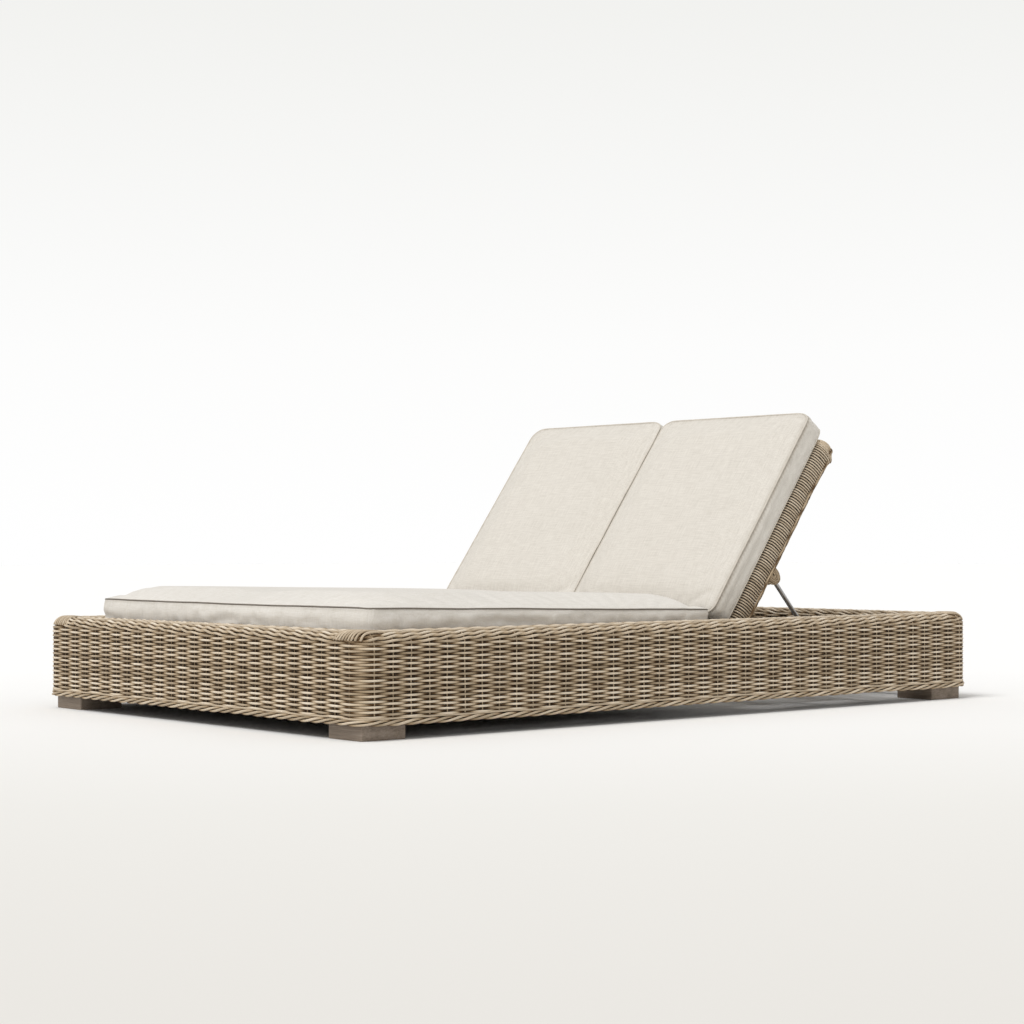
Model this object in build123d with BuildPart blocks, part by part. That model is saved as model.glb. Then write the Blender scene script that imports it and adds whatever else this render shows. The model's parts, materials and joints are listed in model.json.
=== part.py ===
"""Double chaise lounger: a woven platform on wooden feet, with two reclining backs.

X is across the lounger, +Y runs towards the head end and +Z is up. The origin is on the
floor, under the middle of the base. All sizes are in millimetres.
"""
from build123d import *
from math import cos, radians, sin
import os

os.makedirs("parts", exist_ok=True)

# The woven base
base_width = 1420.0
base_length = 2200.0
plan_corner_radius = 45.0
weave_bottom = 35.0
border_high = 14.0
border_round = 4.0
rim_crest = 248.0
rim_wide = 98.0
rim_outer_rounding = 34.0
rim_inner_rounding = 22.0
skin = 10.0
inner_skirt_bottom = 100.0
inner_corner_radius = 12.0

# The aluminium frame and the deck
tube_wall = 2.5
rail_high = 25.0
bottom_rail_wide = 50.0
post_size = 25.0
end_post_count = 3
end_post_pitch = 320.0
inner_rail_high = 20.0
member_wide = 30.0
member_high = 40.0
notch_gap = 0.5
deck_top = 228.0
slat_thick = 20.0
slat_wide = 70.0
slat_count = 12
joist_high = 40.0
joist_count = 5
joist_side_inset = 42.0
deck_member_count = 4
first_member_inset = 80.0
deck_margin = 4.0
hip_member_past_corner = 5.0
deck_past_corner = 23.0
rest_member_past_hinge = 572.0
rest_member_high = 25.0

# Wooden feet and their screws
foot_size = 126.0
foot_inset = 22.5
foot_high = 40.0
foot_edge = 3.0
foot_screw_spacing = 56.0
foot_screw_radius = 4.0
foot_screw_gap = 0.2
foot_screw_reach = 12.0
foot_screw_head_radius = 7.0
foot_screw_head_high = 5.0
counterbore_radius = 8.0
counterbore_deep = 8.0

# The backs. A place on a back is given up its slope from its front corner, and behind it.
recline_angle = 54.0
upright_travel = 12.0
hinge_to_rear_rim = 774.0
hinge_below_deck = 12.0
hinge_up = 1.3
hinge_behind_panel_face = 10.0
panel_start = 24.0
panel_length = 632.0
panel_thick = 68.0
panel_skin = 8.0
panel_roll_thick = 76.0
panel_roll_length = 116.0
panel_roll_slope = 40.0
panel_roll_radius = 30.0
panel_edge_round = 6.0
side_gap = 35.0
centre_half_gap = 4.0
stile_wide = 30.0
stile_tail = 10.0
rung_wide = 30.0
rung_count = 4
first_rung_gap = 20.0

# Hinges
lug_thick = 6.0
lug_radius = 9.5
hinge_play = 0.5
hinge_bolt_radius = 5.0
bolt_running_gap = 0.05
bush_radius = 7.0
bolt_end_gap = 0.3
hinge_head_radius = 8.0
hinge_head_high = 5.5
bracket_root_high = 22.0

# Prop bails, and the knuckles on the backs that carry them
bail_rod_radius = 6.0
bail_length = 274.0
bail_drop_angle = 46.9
bail_corner_radius = 24.0
bail_turn_per_recline = -1.87
bail_pivot_up = 220.0
bail_pivot_standoff = 15.0
bail_eye_radius = 8.5
bail_eye_wide = 13.0
bail_pin_radius = 3.0
bail_pin_gap = 0.05
outer_cheek_thick = 5.0
inner_cheek_thick = 8.0
cheek_play = 0.6
knuckle_radius = 13.0
knuckle_half_long = 20.0

# Notched racks that the bails stand on
rack_thick = 5.0
rack_flange_wide = 25.0
rack_from_leg = 26.0
rack_clearance = 1.0
rack_notch_deep = 5.0
rack_stops = (9.0, 0.0, -11.0, -22.0)
rack_path = (upright_travel, 0.0, -14.0, -28.0, -41.0)
rack_overhang = 30.0
rack_screw_radius = 3.0
rack_screw_reach = 8.0
rack_screw_head_radius = 5.5
rack_screw_head_high = 3.0

# Rubber pads under the lowered backs
pad_radius = 14.0
pad_gap = 0.5
pad_spread = 170.0

# Cushions
cushion_thick = 70.0
cushion_rear_gap = 0.3
cushion_half_gap = 1.0
seat_side_gap = 8.0
seat_front_gap = 8.0
hip_gap = 21.5
seat_edge_front = 297.0
seat_edge_rear = 274.0
seat_crown = 33.0
seat_end_crown = 6.0
seat_valley = 10.0
back_cushion_length = 668.0
back_crown = 15.0
back_end_crown = 4.0
cushion_corner_radius = 30.0
cushion_drawn_in = 3.0
cushion_edge_round = 6.0
seat_station_shares = (0.0, 0.14, 0.5, 0.86, 1.0)
seat_rise_shares = (0.0, 0.85, 1.0, 0.85, 0.0)
back_station_shares = (0.0, 0.22, 0.5, 0.78, 1.0)
back_rise_shares = (0.0, 0.75, 1.0, 0.75, 0.0)

# Sizes that follow from the ones above
half_width = base_width / 2
half_length = base_length / 2
inner_half_width = half_width - rim_wide
inner_half_length = half_length - rim_wide
border_top = weave_bottom + border_high
top_rail_top = rim_crest - skin
top_rail_bottom = top_rail_top - rail_high
top_rail_wide = rim_wide - rim_outer_rounding - rim_inner_rounding
top_rail_inset = rim_outer_rounding + top_rail_wide / 2
bottom_rail_top = foot_high + rail_high
bottom_rail_inset = skin + bottom_rail_wide / 2
frame_inset = skin + bottom_rail_wide
post_inset = frame_inset - post_size / 2
inner_rail_wide = rim_wide - skin - frame_inset
inner_rail_inset = frame_inset + inner_rail_wide / 2
member_half_span = half_width - frame_inset
rail_half_length = half_length - plan_corner_radius
joist_bottom = deck_top - slat_thick - joist_high
deck_member_bottom = joist_bottom - member_high
well_member_bottom = inner_skirt_bottom - member_high
rest_member_bottom = inner_skirt_bottom + inner_rail_high
rest_member_top = rest_member_bottom + rest_member_high

slope_y = cos(radians(recline_angle))
slope_z = sin(radians(recline_angle))
hinge_y = inner_half_length - hinge_to_rear_rim
rest_member_y = hinge_y + rest_member_past_hinge
panel_rear = cushion_thick + panel_thick
panel_top = panel_start + panel_length
hinge_behind = cushion_thick + hinge_behind_panel_face
hinge_z = deck_top - hinge_below_deck
back_corner_y = hinge_y - hinge_up * slope_y - hinge_behind * slope_z
back_corner_z = hinge_z - hinge_up * slope_z + hinge_behind * slope_y
panel_inner_x = centre_half_gap
panel_outer_x = inner_half_width - side_gap
panel_middle_x = (panel_inner_x + panel_outer_x) / 2
pivot_behind = panel_rear + bail_pivot_standoff
leg_from_panel_edge = outer_cheek_thick + cheek_play + bail_eye_wide / 2
leg_inner_x = panel_inner_x + leg_from_panel_edge
leg_outer_x = panel_outer_x - leg_from_panel_edge

deck_front = -inner_half_length + deck_margin
deck_rear = back_corner_y + deck_past_corner
hip_member_y = back_corner_y + hip_member_past_corner
hip_member_rear = hip_member_y + member_wide / 2
first_member_y = deck_front + first_member_inset
member_pitch = (hip_member_y - first_member_y) / (deck_member_count - 1)
deck_member_ys = [first_member_y + i * member_pitch for i in range(deck_member_count)]
seat_front = -inner_half_length + seat_front_gap
seat_rear = back_corner_y - hip_gap
seat_outer_x = inner_half_width - seat_side_gap

SIDES = {"left": -1, "right": 1}
ENDS = {"front": -1, "rear": 1}


def keep(piece, name):
    """Label a finished piece and write it."""
    piece.part.label = name
    export_step(piece.part, f"parts/{name}.step")


def stretch(sign, near, far):
    """The start and the length of a stretch of X from near to far on one side."""
    start, end = sorted((sign * near, sign * far))
    return start, end - start


def back_point(up, behind):
    """Y and Z of a place on a back at rest."""
    return (
        back_corner_y + up * slope_y + behind * slope_z,
        back_corner_z + up * slope_z - behind * slope_y,
    )


def back_side_plane(x):
    """The side view of a back: local x runs up its slope and local y runs forward."""
    y, z = back_point(0, 0)
    return Plane(origin=(x, y, z), x_dir=(0, slope_y, slope_z), z_dir=(1, 0, 0))


def back_front_plane(behind):
    """The front view of a back: local x is X and local y runs up its slope."""
    y, z = back_point(0, behind)
    return Plane(origin=(0, y, z), x_dir=(1, 0, 0), z_dir=(0, -slope_z, slope_y))


def back_section_plane(up):
    """Square across a back: local x is X and local y runs forward."""
    y, z = back_point(up, 0)
    return Plane(origin=(0, y, z), x_dir=(1, 0, 0), z_dir=(0, -slope_y, -slope_z))


def side_plane(x):
    """The side view of the base: local x is Y and local y is Z."""
    return Plane(origin=(x, 0, 0), x_dir=(0, 1, 0), z_dir=(1, 0, 0))


def bail_foot(turn):
    """Y and Z of the bail's crossbar when the back has turned by this many degrees."""
    pivot_y, pivot_z = back_point(bail_pivot_up, pivot_behind)
    angle = radians(turn)
    arm_y, arm_z = pivot_y - hinge_y, pivot_z - hinge_z
    leg_angle = radians(-bail_drop_angle + turn * (1 + bail_turn_per_recline))
    return (
        hinge_y + arm_y * cos(angle) - arm_z * sin(angle) + bail_length * cos(leg_angle),
        hinge_z + arm_y * sin(angle) + arm_z * cos(angle) + bail_length * sin(leg_angle),
    )


def tube_outline(wide, high):
    """The section of a hollow rectangular tube, drawn in the sketch that is open."""
    Rectangle(wide, high)
    Rectangle(wide - 2 * tube_wall, high - 2 * tube_wall, mode=Mode.SUBTRACT)


def tubes_along_x(places, wide, high, half_span):
    """Hollow tubes across the lounger at these places in Y and Z."""
    with BuildPart() as tubes:
        for y, z in places:
            plane = Plane(origin=(-half_span, y, z), x_dir=(0, 1, 0), z_dir=(1, 0, 0))
            with BuildSketch(plane):
                tube_outline(wide, high)
            extrude(amount=2 * half_span)
    return tubes


def tubes_along_y(places, wide, high, start, end):
    """Hollow tubes along the lounger at these places in X and Z."""
    with BuildPart() as tubes:
        for x, z in places:
            plane = Plane(origin=(x, start, z), x_dir=(1, 0, 0), z_dir=(0, 1, 0))
            with BuildSketch(plane):
                tube_outline(wide, high)
            extrude(amount=end - start)
    return tubes


# Where the racks and the members under them go
foot_places = [bail_foot(turn) for turn in rack_path]
rack_start = min(y for y, z in foot_places) - rack_overhang
rack_end = max(y for y, z in foot_places) + rack_overhang
well_member_ys = [rack_start + member_wide / 2, rack_end - member_wide / 2]
rack_inner_x = leg_inner_x + rack_from_leg
rack_outer_x = leg_outer_x - rack_from_leg

# Woven base skin: outer wall, rolled rim and inner skirt over one hollow
with BuildPart() as rim_hollow:
    with BuildSketch(Plane.XY.offset(weave_bottom)):
        RectangleRounded(base_width - 2 * skin, base_length - 2 * skin, plan_corner_radius - skin)
        RectangleRounded(
            2 * (inner_half_width + skin),
            2 * (inner_half_length + skin),
            inner_corner_radius + skin,
            mode=Mode.SUBTRACT,
        )
    extrude(amount=top_rail_top - weave_bottom)
    fillet(rim_hollow.faces().sort_by(Axis.Z)[-1].outer_wire().edges(), rim_outer_rounding - skin)
    hollow_top = rim_hollow.faces().sort_by(Axis.Z)[-1]
    fillet(hollow_top.inner_wires()[0].edges(), rim_inner_rounding - skin)

with BuildPart() as base_weave:
    with BuildSketch(Plane.XY.offset(border_top)):
        RectangleRounded(base_width, base_length, plan_corner_radius)
        RectangleRounded(
            2 * inner_half_width, 2 * inner_half_length, inner_corner_radius, mode=Mode.SUBTRACT
        )
    extrude(amount=rim_crest - border_top)
    fillet(base_weave.faces().sort_by(Axis.Z)[-1].outer_wire().edges(), rim_outer_rounding)
    rim_top = base_weave.faces().sort_by(Axis.Z)[-1]
    fillet(rim_top.inner_wires()[0].edges(), rim_inner_rounding)
    add(rim_hollow.part, mode=Mode.SUBTRACT)
    with BuildSketch(Plane.XY.offset(weave_bottom)):
        Rectangle(2 * member_half_span, 2 * (half_length - frame_inset))
    extrude(amount=inner_skirt_bottom - weave_bottom, mode=Mode.SUBTRACT)
    for y in deck_member_ys:
        with Locations((0, y, deck_member_bottom + member_high / 2)):
            Box(
                2 * member_half_span,
                member_wide + 2 * notch_gap,
                member_high + 2 * notch_gap,
                mode=Mode.SUBTRACT,
            )
    with Locations((0, rest_member_y, (rest_member_bottom + rest_member_top) / 2)):
        Box(
            2 * member_half_span,
            member_wide + 2 * notch_gap,
            rest_member_high + 2 * notch_gap,
            mode=Mode.SUBTRACT,
        )
keep(base_weave, "base_weave")

with BuildPart() as base_border:
    with BuildSketch(Plane.XY.offset(weave_bottom)):
        RectangleRounded(base_width, base_length, plan_corner_radius)
        RectangleRounded(
            base_width - 2 * skin,
            base_length - 2 * skin,
            plan_corner_radius - skin,
            mode=Mode.SUBTRACT,
        )
    extrude(amount=border_high)
    fillet(base_border.faces().sort_by(Axis.Z)[0].outer_wire().edges(), border_round)
    fillet(base_border.faces().sort_by(Axis.Z)[-1].outer_wire().edges(), border_round)
keep(base_border, "base_border")

# Rails of the frame inside the base
for side, sign in SIDES.items():
    top_rail = tubes_along_y(
        [(sign * (half_width - top_rail_inset), (top_rail_top + top_rail_bottom) / 2)],
        top_rail_wide,
        rail_high,
        -rail_half_length,
        rail_half_length,
    )
    keep(top_rail, f"top_rail_{side}")
    inner_rail = tubes_along_y(
        [(sign * (half_width - inner_rail_inset), inner_skirt_bottom + inner_rail_high / 2)],
        inner_rail_wide,
        inner_rail_high,
        -(half_length - frame_inset),
        half_length - frame_inset,
    )
    keep(inner_rail, f"inner_rail_{side}")

top_rail_inner_span = half_width - rim_outer_rounding - top_rail_wide
for end, sign in ENDS.items():
    top_rail = tubes_along_x(
        [(sign * (half_length - top_rail_inset), (top_rail_top + top_rail_bottom) / 2)],
        top_rail_wide,
        rail_high,
        top_rail_inner_span,
    )
    keep(top_rail, f"top_rail_{end}")
    bottom_rail = tubes_along_x(
        [(sign * (half_length - bottom_rail_inset), foot_high + rail_high / 2)],
        bottom_rail_wide,
        rail_high,
        member_half_span,
    )
    keep(bottom_rail, f"bottom_rail_{end}")
    inner_rail = tubes_along_x(
        [(sign * (half_length - inner_rail_inset), inner_skirt_bottom + inner_rail_high / 2)],
        inner_rail_wide,
        inner_rail_high,
        inner_half_width + skin,
    )
    keep(inner_rail, f"inner_rail_{end}")

# Side bottom rails, with the holes that take the foot screws
foot_y = half_length - foot_inset - foot_size / 2
foot_x = half_width - foot_inset - foot_size / 2
screw_x = half_width - bottom_rail_inset
screw_ys = [foot_y - foot_screw_spacing / 2, foot_y + foot_screw_spacing / 2]
foot_screw_ys = [-y for y in screw_ys] + screw_ys
for side, sign in SIDES.items():
    with BuildPart() as bottom_rail:
        rail_start = Plane(
            origin=(sign * screw_x, -rail_half_length, foot_high + rail_high / 2),
            x_dir=(1, 0, 0),
            z_dir=(0, 1, 0),
        )
        with BuildSketch(rail_start):
            tube_outline(bottom_rail_wide, rail_high)
        extrude(amount=2 * rail_half_length)
        with BuildSketch(Plane.XY.offset(foot_high)):
            with Locations([(sign * screw_x, y) for y in foot_screw_ys]):
                Circle(foot_screw_radius)
        extrude(amount=tube_wall, mode=Mode.SUBTRACT)
    keep(bottom_rail, f"bottom_rail_{side}")

# Upright posts between the bottom and top rails
end_post_start = -end_post_pitch * (end_post_count - 1) / 2
end_post_xs = [end_post_start + i * end_post_pitch for i in range(end_post_count)]
corner_post_y = half_length - post_inset
side_post_ys = deck_member_ys + well_member_ys + [rest_member_y, -corner_post_y, corner_post_y]
post_places = [(s * (half_width - post_inset), y) for s in (-1, 1) for y in side_post_ys]
post_places += [(x, s * corner_post_y) for s in (-1, 1) for x in end_post_xs]
with BuildPart() as frame_posts:
    with BuildSketch(Plane.XY.offset(bottom_rail_top)):
        with Locations(post_places):
            tube_outline(post_size, post_size)
    extrude(amount=top_rail_bottom - bottom_rail_top)
keep(frame_posts, "frame_posts")

# Members across the base, and the deck on them
deck_members = tubes_along_x(
    [(y, deck_member_bottom + member_high / 2) for y in deck_member_ys],
    member_wide,
    member_high,
    member_half_span,
)
keep(deck_members, "deck_cross_members")

rest_member = tubes_along_x(
    [(rest_member_y, (rest_member_bottom + rest_member_top) / 2)],
    member_wide,
    rest_member_high,
    member_half_span,
)
keep(rest_member, "back_rest_member")

joist_reach = inner_half_width - joist_side_inset
joist_pitch = 2 * joist_reach / (joist_count - 1)
deck_joists = tubes_along_y(
    [(-joist_reach + i * joist_pitch, joist_bottom + joist_high / 2) for i in range(joist_count)],
    member_wide,
    joist_high,
    deck_front,
    hip_member_rear,
)
keep(deck_joists, "deck_joists")

slat_pitch = (deck_rear - deck_front - slat_wide) / (slat_count - 1)
deck_slats = tubes_along_x(
    [
        (deck_front + slat_wide / 2 + i * slat_pitch, deck_top - slat_thick / 2)
        for i in range(slat_count)
    ],
    slat_wide,
    slat_thick,
    inner_half_width - deck_margin,
)
keep(deck_slats, "deck_slats")

# Members under the racks, with the holes that take the rack screws
rack_screw_xs = [
    rack_inner_x + (rack_thick + rack_flange_wide) / 2,
    rack_outer_x - (rack_thick + rack_flange_wide) / 2,
]
rack_screw_places = [
    (s * x, y) for s in (-1, 1) for x in rack_screw_xs for y in well_member_ys
]
with BuildPart() as well_members:
    for y in well_member_ys:
        member_start = Plane(
            origin=(-member_half_span, y, well_member_bottom + member_high / 2),
            x_dir=(0, 1, 0),
            z_dir=(1, 0, 0),
        )
        with BuildSketch(member_start):
            tube_outline(member_wide, member_high)
        extrude(amount=2 * member_half_span)
    with BuildSketch(Plane.XY.offset(inner_skirt_bottom)):
        with Locations(rack_screw_places):
            Circle(rack_screw_radius)
    extrude(amount=-tube_wall, mode=Mode.SUBTRACT)
keep(well_members, "well_cross_members")

# Wooden feet, screwed up into the side rails
for end, end_sign in ENDS.items():
    for side, side_sign in SIDES.items():
        with BuildPart() as foot:
            with BuildSketch():
                with Locations((side_sign * foot_x, end_sign * foot_y)):
                    Rectangle(foot_size, foot_size)
            extrude(amount=foot_high)
            fillet(foot.edges().filter_by(Axis.Z), foot_edge)
            chamfer(foot.faces().sort_by(Axis.Z)[0].edges(), foot_edge / 2)
            holes = [(side_sign * screw_x, end_sign * y) for y in screw_ys]
            with BuildSketch():
                with Locations(holes):
                    Circle(foot_screw_radius + foot_screw_gap)
            extrude(amount=foot_high, mode=Mode.SUBTRACT)
            with BuildSketch():
                with Locations(holes):
                    Circle(counterbore_radius)
            extrude(amount=counterbore_deep, mode=Mode.SUBTRACT)
        keep(foot, f"foot_{end}_{side}")

with BuildPart() as foot_screws:
    screw_places = [(s * screw_x, y) for s in (-1, 1) for y in foot_screw_ys]
    with BuildSketch(Plane.XY.offset(counterbore_deep)):
        with Locations(screw_places):
            RegularPolygon(foot_screw_head_radius, 6)
    extrude(amount=-foot_screw_head_high)
    with BuildSketch(Plane.XY.offset(counterbore_deep)):
        with Locations(screw_places):
            Circle(foot_screw_radius)
    extrude(amount=foot_high - counterbore_deep + foot_screw_reach)
keep(foot_screws, "foot_screws")

# Racks and their screws
def make_rack(x, inward):
    """A notched plate with a foot flange that runs inward, away from the bail's leg."""
    stand = inner_skirt_bottom
    tops = [(y, z - bail_rod_radius - rack_clearance) for y, z in foot_places]
    outline = [(rack_start, stand), (rack_start, tops[0][1])] + tops
    outline += [(rack_end, tops[-1][1]), (rack_end, stand)]
    with BuildPart() as rack:
        with BuildSketch(side_plane(min(x, x + inward * rack_thick))):
            Polygon(*outline, align=None)
            for turn in rack_stops:
                y, z = bail_foot(turn)
                with Locations((y, z - rack_notch_deep)):
                    Circle(bail_rod_radius + rack_clearance, mode=Mode.SUBTRACT)
        extrude(amount=rack_thick)
        with BuildSketch(Plane.XY.offset(stand)):
            with Locations((x + inward * rack_flange_wide / 2, (rack_start + rack_end) / 2)):
                Rectangle(rack_flange_wide, rack_end - rack_start)
        extrude(amount=rack_thick)
        screw_x_here = x + inward * (rack_thick + rack_flange_wide) / 2
        with BuildSketch(Plane.XY.offset(stand)):
            with Locations([(screw_x_here, y) for y in well_member_ys]):
                Circle(rack_screw_radius)
        extrude(amount=rack_thick, mode=Mode.SUBTRACT)
    return rack


for side, sign in SIDES.items():
    keep(make_rack(sign * rack_outer_x, -sign), f"bail_rack_{side}_outer")
    keep(make_rack(sign * rack_inner_x, sign), f"bail_rack_{side}_inner")

with BuildPart() as rack_screws:
    with BuildSketch(Plane.XY.offset(inner_skirt_bottom + rack_thick)):
        with Locations(rack_screw_places):
            Circle(rack_screw_head_radius)
    extrude(amount=rack_screw_head_high)
    with BuildSketch(Plane.XY.offset(inner_skirt_bottom + rack_thick)):
        with Locations(rack_screw_places):
            Circle(rack_screw_radius)
    extrude(amount=-(rack_thick + rack_screw_reach))
keep(rack_screws, "rack_screws")

# Rubber pads that take the lowered backs
pad_top = hinge_z + hinge_behind - cushion_thick - panel_roll_thick - pad_gap
pad_places = [
    (s * (panel_middle_x + d), rest_member_y) for s in (-1, 1) for d in (-pad_spread, pad_spread)
]
with BuildPart() as rest_pads:
    with BuildSketch(Plane.XY.offset(rest_member_top)):
        with Locations(pad_places):
            Circle(pad_radius)
    extrude(amount=pad_top - rest_member_top)
keep(rest_pads, "rest_pads")

# Hinge plates: the lugs stand beside the stiles and the brackets beside the lugs
lug_inner_x = panel_inner_x + panel_skin + stile_wide
lug_outer_x = panel_outer_x - panel_skin - stile_wide
lug_spans = [(lug_inner_x, lug_inner_x + lug_thick), (lug_outer_x - lug_thick, lug_outer_x)]
bracket_spans = [
    (lug_inner_x + lug_thick + hinge_play, lug_inner_x + 2 * lug_thick + hinge_play),
    (lug_outer_x - 2 * lug_thick - hinge_play, lug_outer_x - lug_thick - hinge_play),
]
bracket_root_top = deck_member_bottom + bracket_root_high
with BuildPart() as hinge_brackets:
    for sign in SIDES.values():
        for near, far in bracket_spans:
            start, thick = stretch(sign, near, far)
            with BuildSketch(side_plane(start)):
                with Locations((hinge_y, hinge_z)):
                    Circle(lug_radius)
                with BuildLine():
                    Line((hip_member_rear, deck_member_bottom), (hip_member_rear, bracket_root_top))
                make_hull()
                with Locations((hinge_y, hinge_z)):
                    Circle(hinge_bolt_radius, mode=Mode.SUBTRACT)
            extrude(amount=thick)
keep(hinge_brackets, "hinge_brackets")

with BuildPart() as hinge_bolts:
    for sign in SIDES.values():
        for (lug_near, lug_far), (near, far) in zip(lug_spans, bracket_spans):
            inner = near > lug_near
            tip = lug_near + bolt_end_gap if inner else lug_far - bolt_end_gap
            seat = far if inner else near
            head_end = seat + hinge_head_high if inner else seat - hinge_head_high
            start, length = stretch(sign, tip, seat)
            with BuildSketch(side_plane(start)):
                with Locations((hinge_y, hinge_z)):
                    Circle(hinge_bolt_radius)
            extrude(amount=length)
            start, length = stretch(sign, seat, head_end)
            with BuildSketch(side_plane(start)):
                with Locations((hinge_y, hinge_z)):
                    RegularPolygon(hinge_head_radius, 6)
            extrude(amount=length)
keep(hinge_bolts, "hinge_bolts")


# The reclining backs
def panel_outline():
    """The side view of a woven panel, drawn in the sketch that is open."""
    roll_rear = cushion_thick + panel_roll_thick
    roll_start = panel_top - panel_roll_length
    Polygon(
        (panel_start, -cushion_thick),
        (panel_start, -panel_rear),
        (roll_start - panel_roll_slope, -panel_rear),
        (roll_start, -roll_rear),
        (panel_top, -roll_rear),
        (panel_top, -cushion_thick),
        align=None,
    )


def make_back_weave(sign):
    """The woven sleeve round a back's frame, slotted at its lower end for the stiles."""
    start, wide = stretch(sign, panel_inner_x, panel_outer_x)
    with BuildPart() as weave:
        with BuildSketch(back_side_plane(start)) as outline:
            panel_outline()
            fillet(outline.vertices().group_by(Axis.X)[-1], panel_roll_radius)
        extrude(amount=wide)
        ends = weave.faces().filter_by(Axis.X)
        fillet(ends.edges(), panel_edge_round)
        with BuildSketch(back_side_plane(start + panel_skin)) as inside:
            panel_outline()
            fillet(inside.vertices().group_by(Axis.X)[-1], panel_roll_radius)
            offset(amount=-panel_skin, mode=Mode.REPLACE)
        extrude(amount=wide - 2 * panel_skin, mode=Mode.SUBTRACT)
        slot_wide = stile_wide + lug_thick
        for near in (panel_inner_x + panel_skin, panel_outer_x - panel_skin - slot_wide):
            slot_start, slot_length = stretch(sign, near, near + slot_wide)
            with BuildSketch(back_side_plane(slot_start)):
                with Locations((panel_start, -(cushion_thick + panel_thick / 2))):
                    Rectangle(2 * panel_skin, panel_thick - 2 * panel_skin)
            extrude(amount=slot_length, mode=Mode.SUBTRACT)
    return weave


def make_back_frame(sign):
    """Two stiles and the rungs between them, in hollow tube welded together."""
    middle = sign * panel_middle_x
    frame_wide = panel_outer_x - panel_inner_x - 2 * panel_skin
    frame_start = panel_start - stile_tail
    frame_end = panel_top - panel_roll_radius
    frame_deep = panel_thick - 2 * panel_skin
    rung_pitch = (frame_end - rung_wide - panel_start - first_rung_gap) / (rung_count - 1)
    first_rung = panel_start + first_rung_gap + rung_wide / 2
    rung_ups = [first_rung + i * rung_pitch for i in range(rung_count)]
    stile_x = (frame_wide - stile_wide) / 2
    with BuildPart() as frame:
        with BuildSketch(back_front_plane(panel_rear - panel_skin)):
            with Locations([(middle + s * stile_x, frame_start) for s in (-1, 1)]):
                Rectangle(stile_wide, frame_end - frame_start, align=(Align.CENTER, Align.MIN))
            with Locations([(middle, up) for up in rung_ups]):
                Rectangle(frame_wide, rung_wide)
        extrude(amount=frame_deep)
        with BuildSketch(back_front_plane(panel_rear - panel_skin - tube_wall)):
            with Locations([(middle + s * stile_x, frame_start) for s in (-1, 1)]):
                Rectangle(
                    stile_wide - 2 * tube_wall,
                    frame_end - frame_start,
                    align=(Align.CENTER, Align.MIN),
                )
            with Locations([(middle, up) for up in rung_ups]):
                Rectangle(frame_wide - 2 * tube_wall, rung_wide - 2 * tube_wall)
        extrude(amount=frame_deep - 2 * tube_wall, mode=Mode.SUBTRACT)
    return frame


def make_hinge_lugs(sign):
    """Plates on the inward faces of the stiles, reaching down to the hinge."""
    front, rear = cushion_thick + panel_skin, panel_rear - panel_skin
    with BuildPart() as lugs:
        for near, far in lug_spans:
            start, thick = stretch(sign, near, far)
            with BuildSketch(back_side_plane(start)):
                with Locations((hinge_up, -hinge_behind)):
                    Circle(lug_radius)
                with BuildLine():
                    Line((panel_start, -rear), (panel_start, -front))
                make_hull()
                with Locations((panel_start, -rear)):
                    Rectangle(first_rung_gap, rear - front, align=(Align.MIN, Align.MIN))
                with Locations((hinge_up, -hinge_behind)):
                    Circle(bush_radius, mode=Mode.SUBTRACT)
            extrude(amount=thick)
    return lugs


def make_hinge_bushes(sign):
    """Bushes in the lugs, running on the hinge bolts."""
    with BuildPart() as bushes:
        for near, far in lug_spans:
            start, thick = stretch(sign, near, far)
            with BuildSketch(back_side_plane(start)):
                with Locations((hinge_up, -hinge_behind)):
                    Circle(bush_radius)
                    Circle(hinge_bolt_radius + bolt_running_gap, mode=Mode.SUBTRACT)
            extrude(amount=thick)
    return bushes


cheek_spans = [
    (panel_inner_x, panel_inner_x + outer_cheek_thick),
    (
        leg_inner_x + bail_eye_wide / 2 + cheek_play,
        leg_inner_x + bail_eye_wide / 2 + cheek_play + inner_cheek_thick,
    ),
    (
        leg_outer_x - bail_eye_wide / 2 - cheek_play - inner_cheek_thick,
        leg_outer_x - bail_eye_wide / 2 - cheek_play,
    ),
    (panel_outer_x - outer_cheek_thick, panel_outer_x),
]


def make_knuckles(sign):
    """Pairs of cheeks behind a back, one each side of a bail leg."""
    knuckle_low, knuckle_high = bail_pivot_up - knuckle_half_long, bail_pivot_up + knuckle_half_long
    with BuildPart() as knuckles:
        for near, far in cheek_spans:
            start, thick = stretch(sign, near, far)
            with BuildSketch(back_side_plane(start)):
                with Locations((bail_pivot_up, -pivot_behind)):
                    Circle(knuckle_radius)
                with BuildLine():
                    Line((knuckle_low, -panel_rear), (knuckle_high, -panel_rear))
                make_hull()
                with Locations((bail_pivot_up, -pivot_behind)):
                    Circle(bail_pin_radius, mode=Mode.SUBTRACT)
            extrude(amount=thick)
    return knuckles


def make_bail_pins(sign):
    """The pins that the bail's two eyes turn on."""
    with BuildPart() as pins:
        for first, last in (cheek_spans[:2], cheek_spans[2:]):
            start, length = stretch(sign, first[0], last[1])
            with BuildSketch(back_side_plane(start)):
                with Locations((bail_pivot_up, -pivot_behind)):
                    Circle(bail_pin_radius)
            extrude(amount=length)
    return pins


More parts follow.
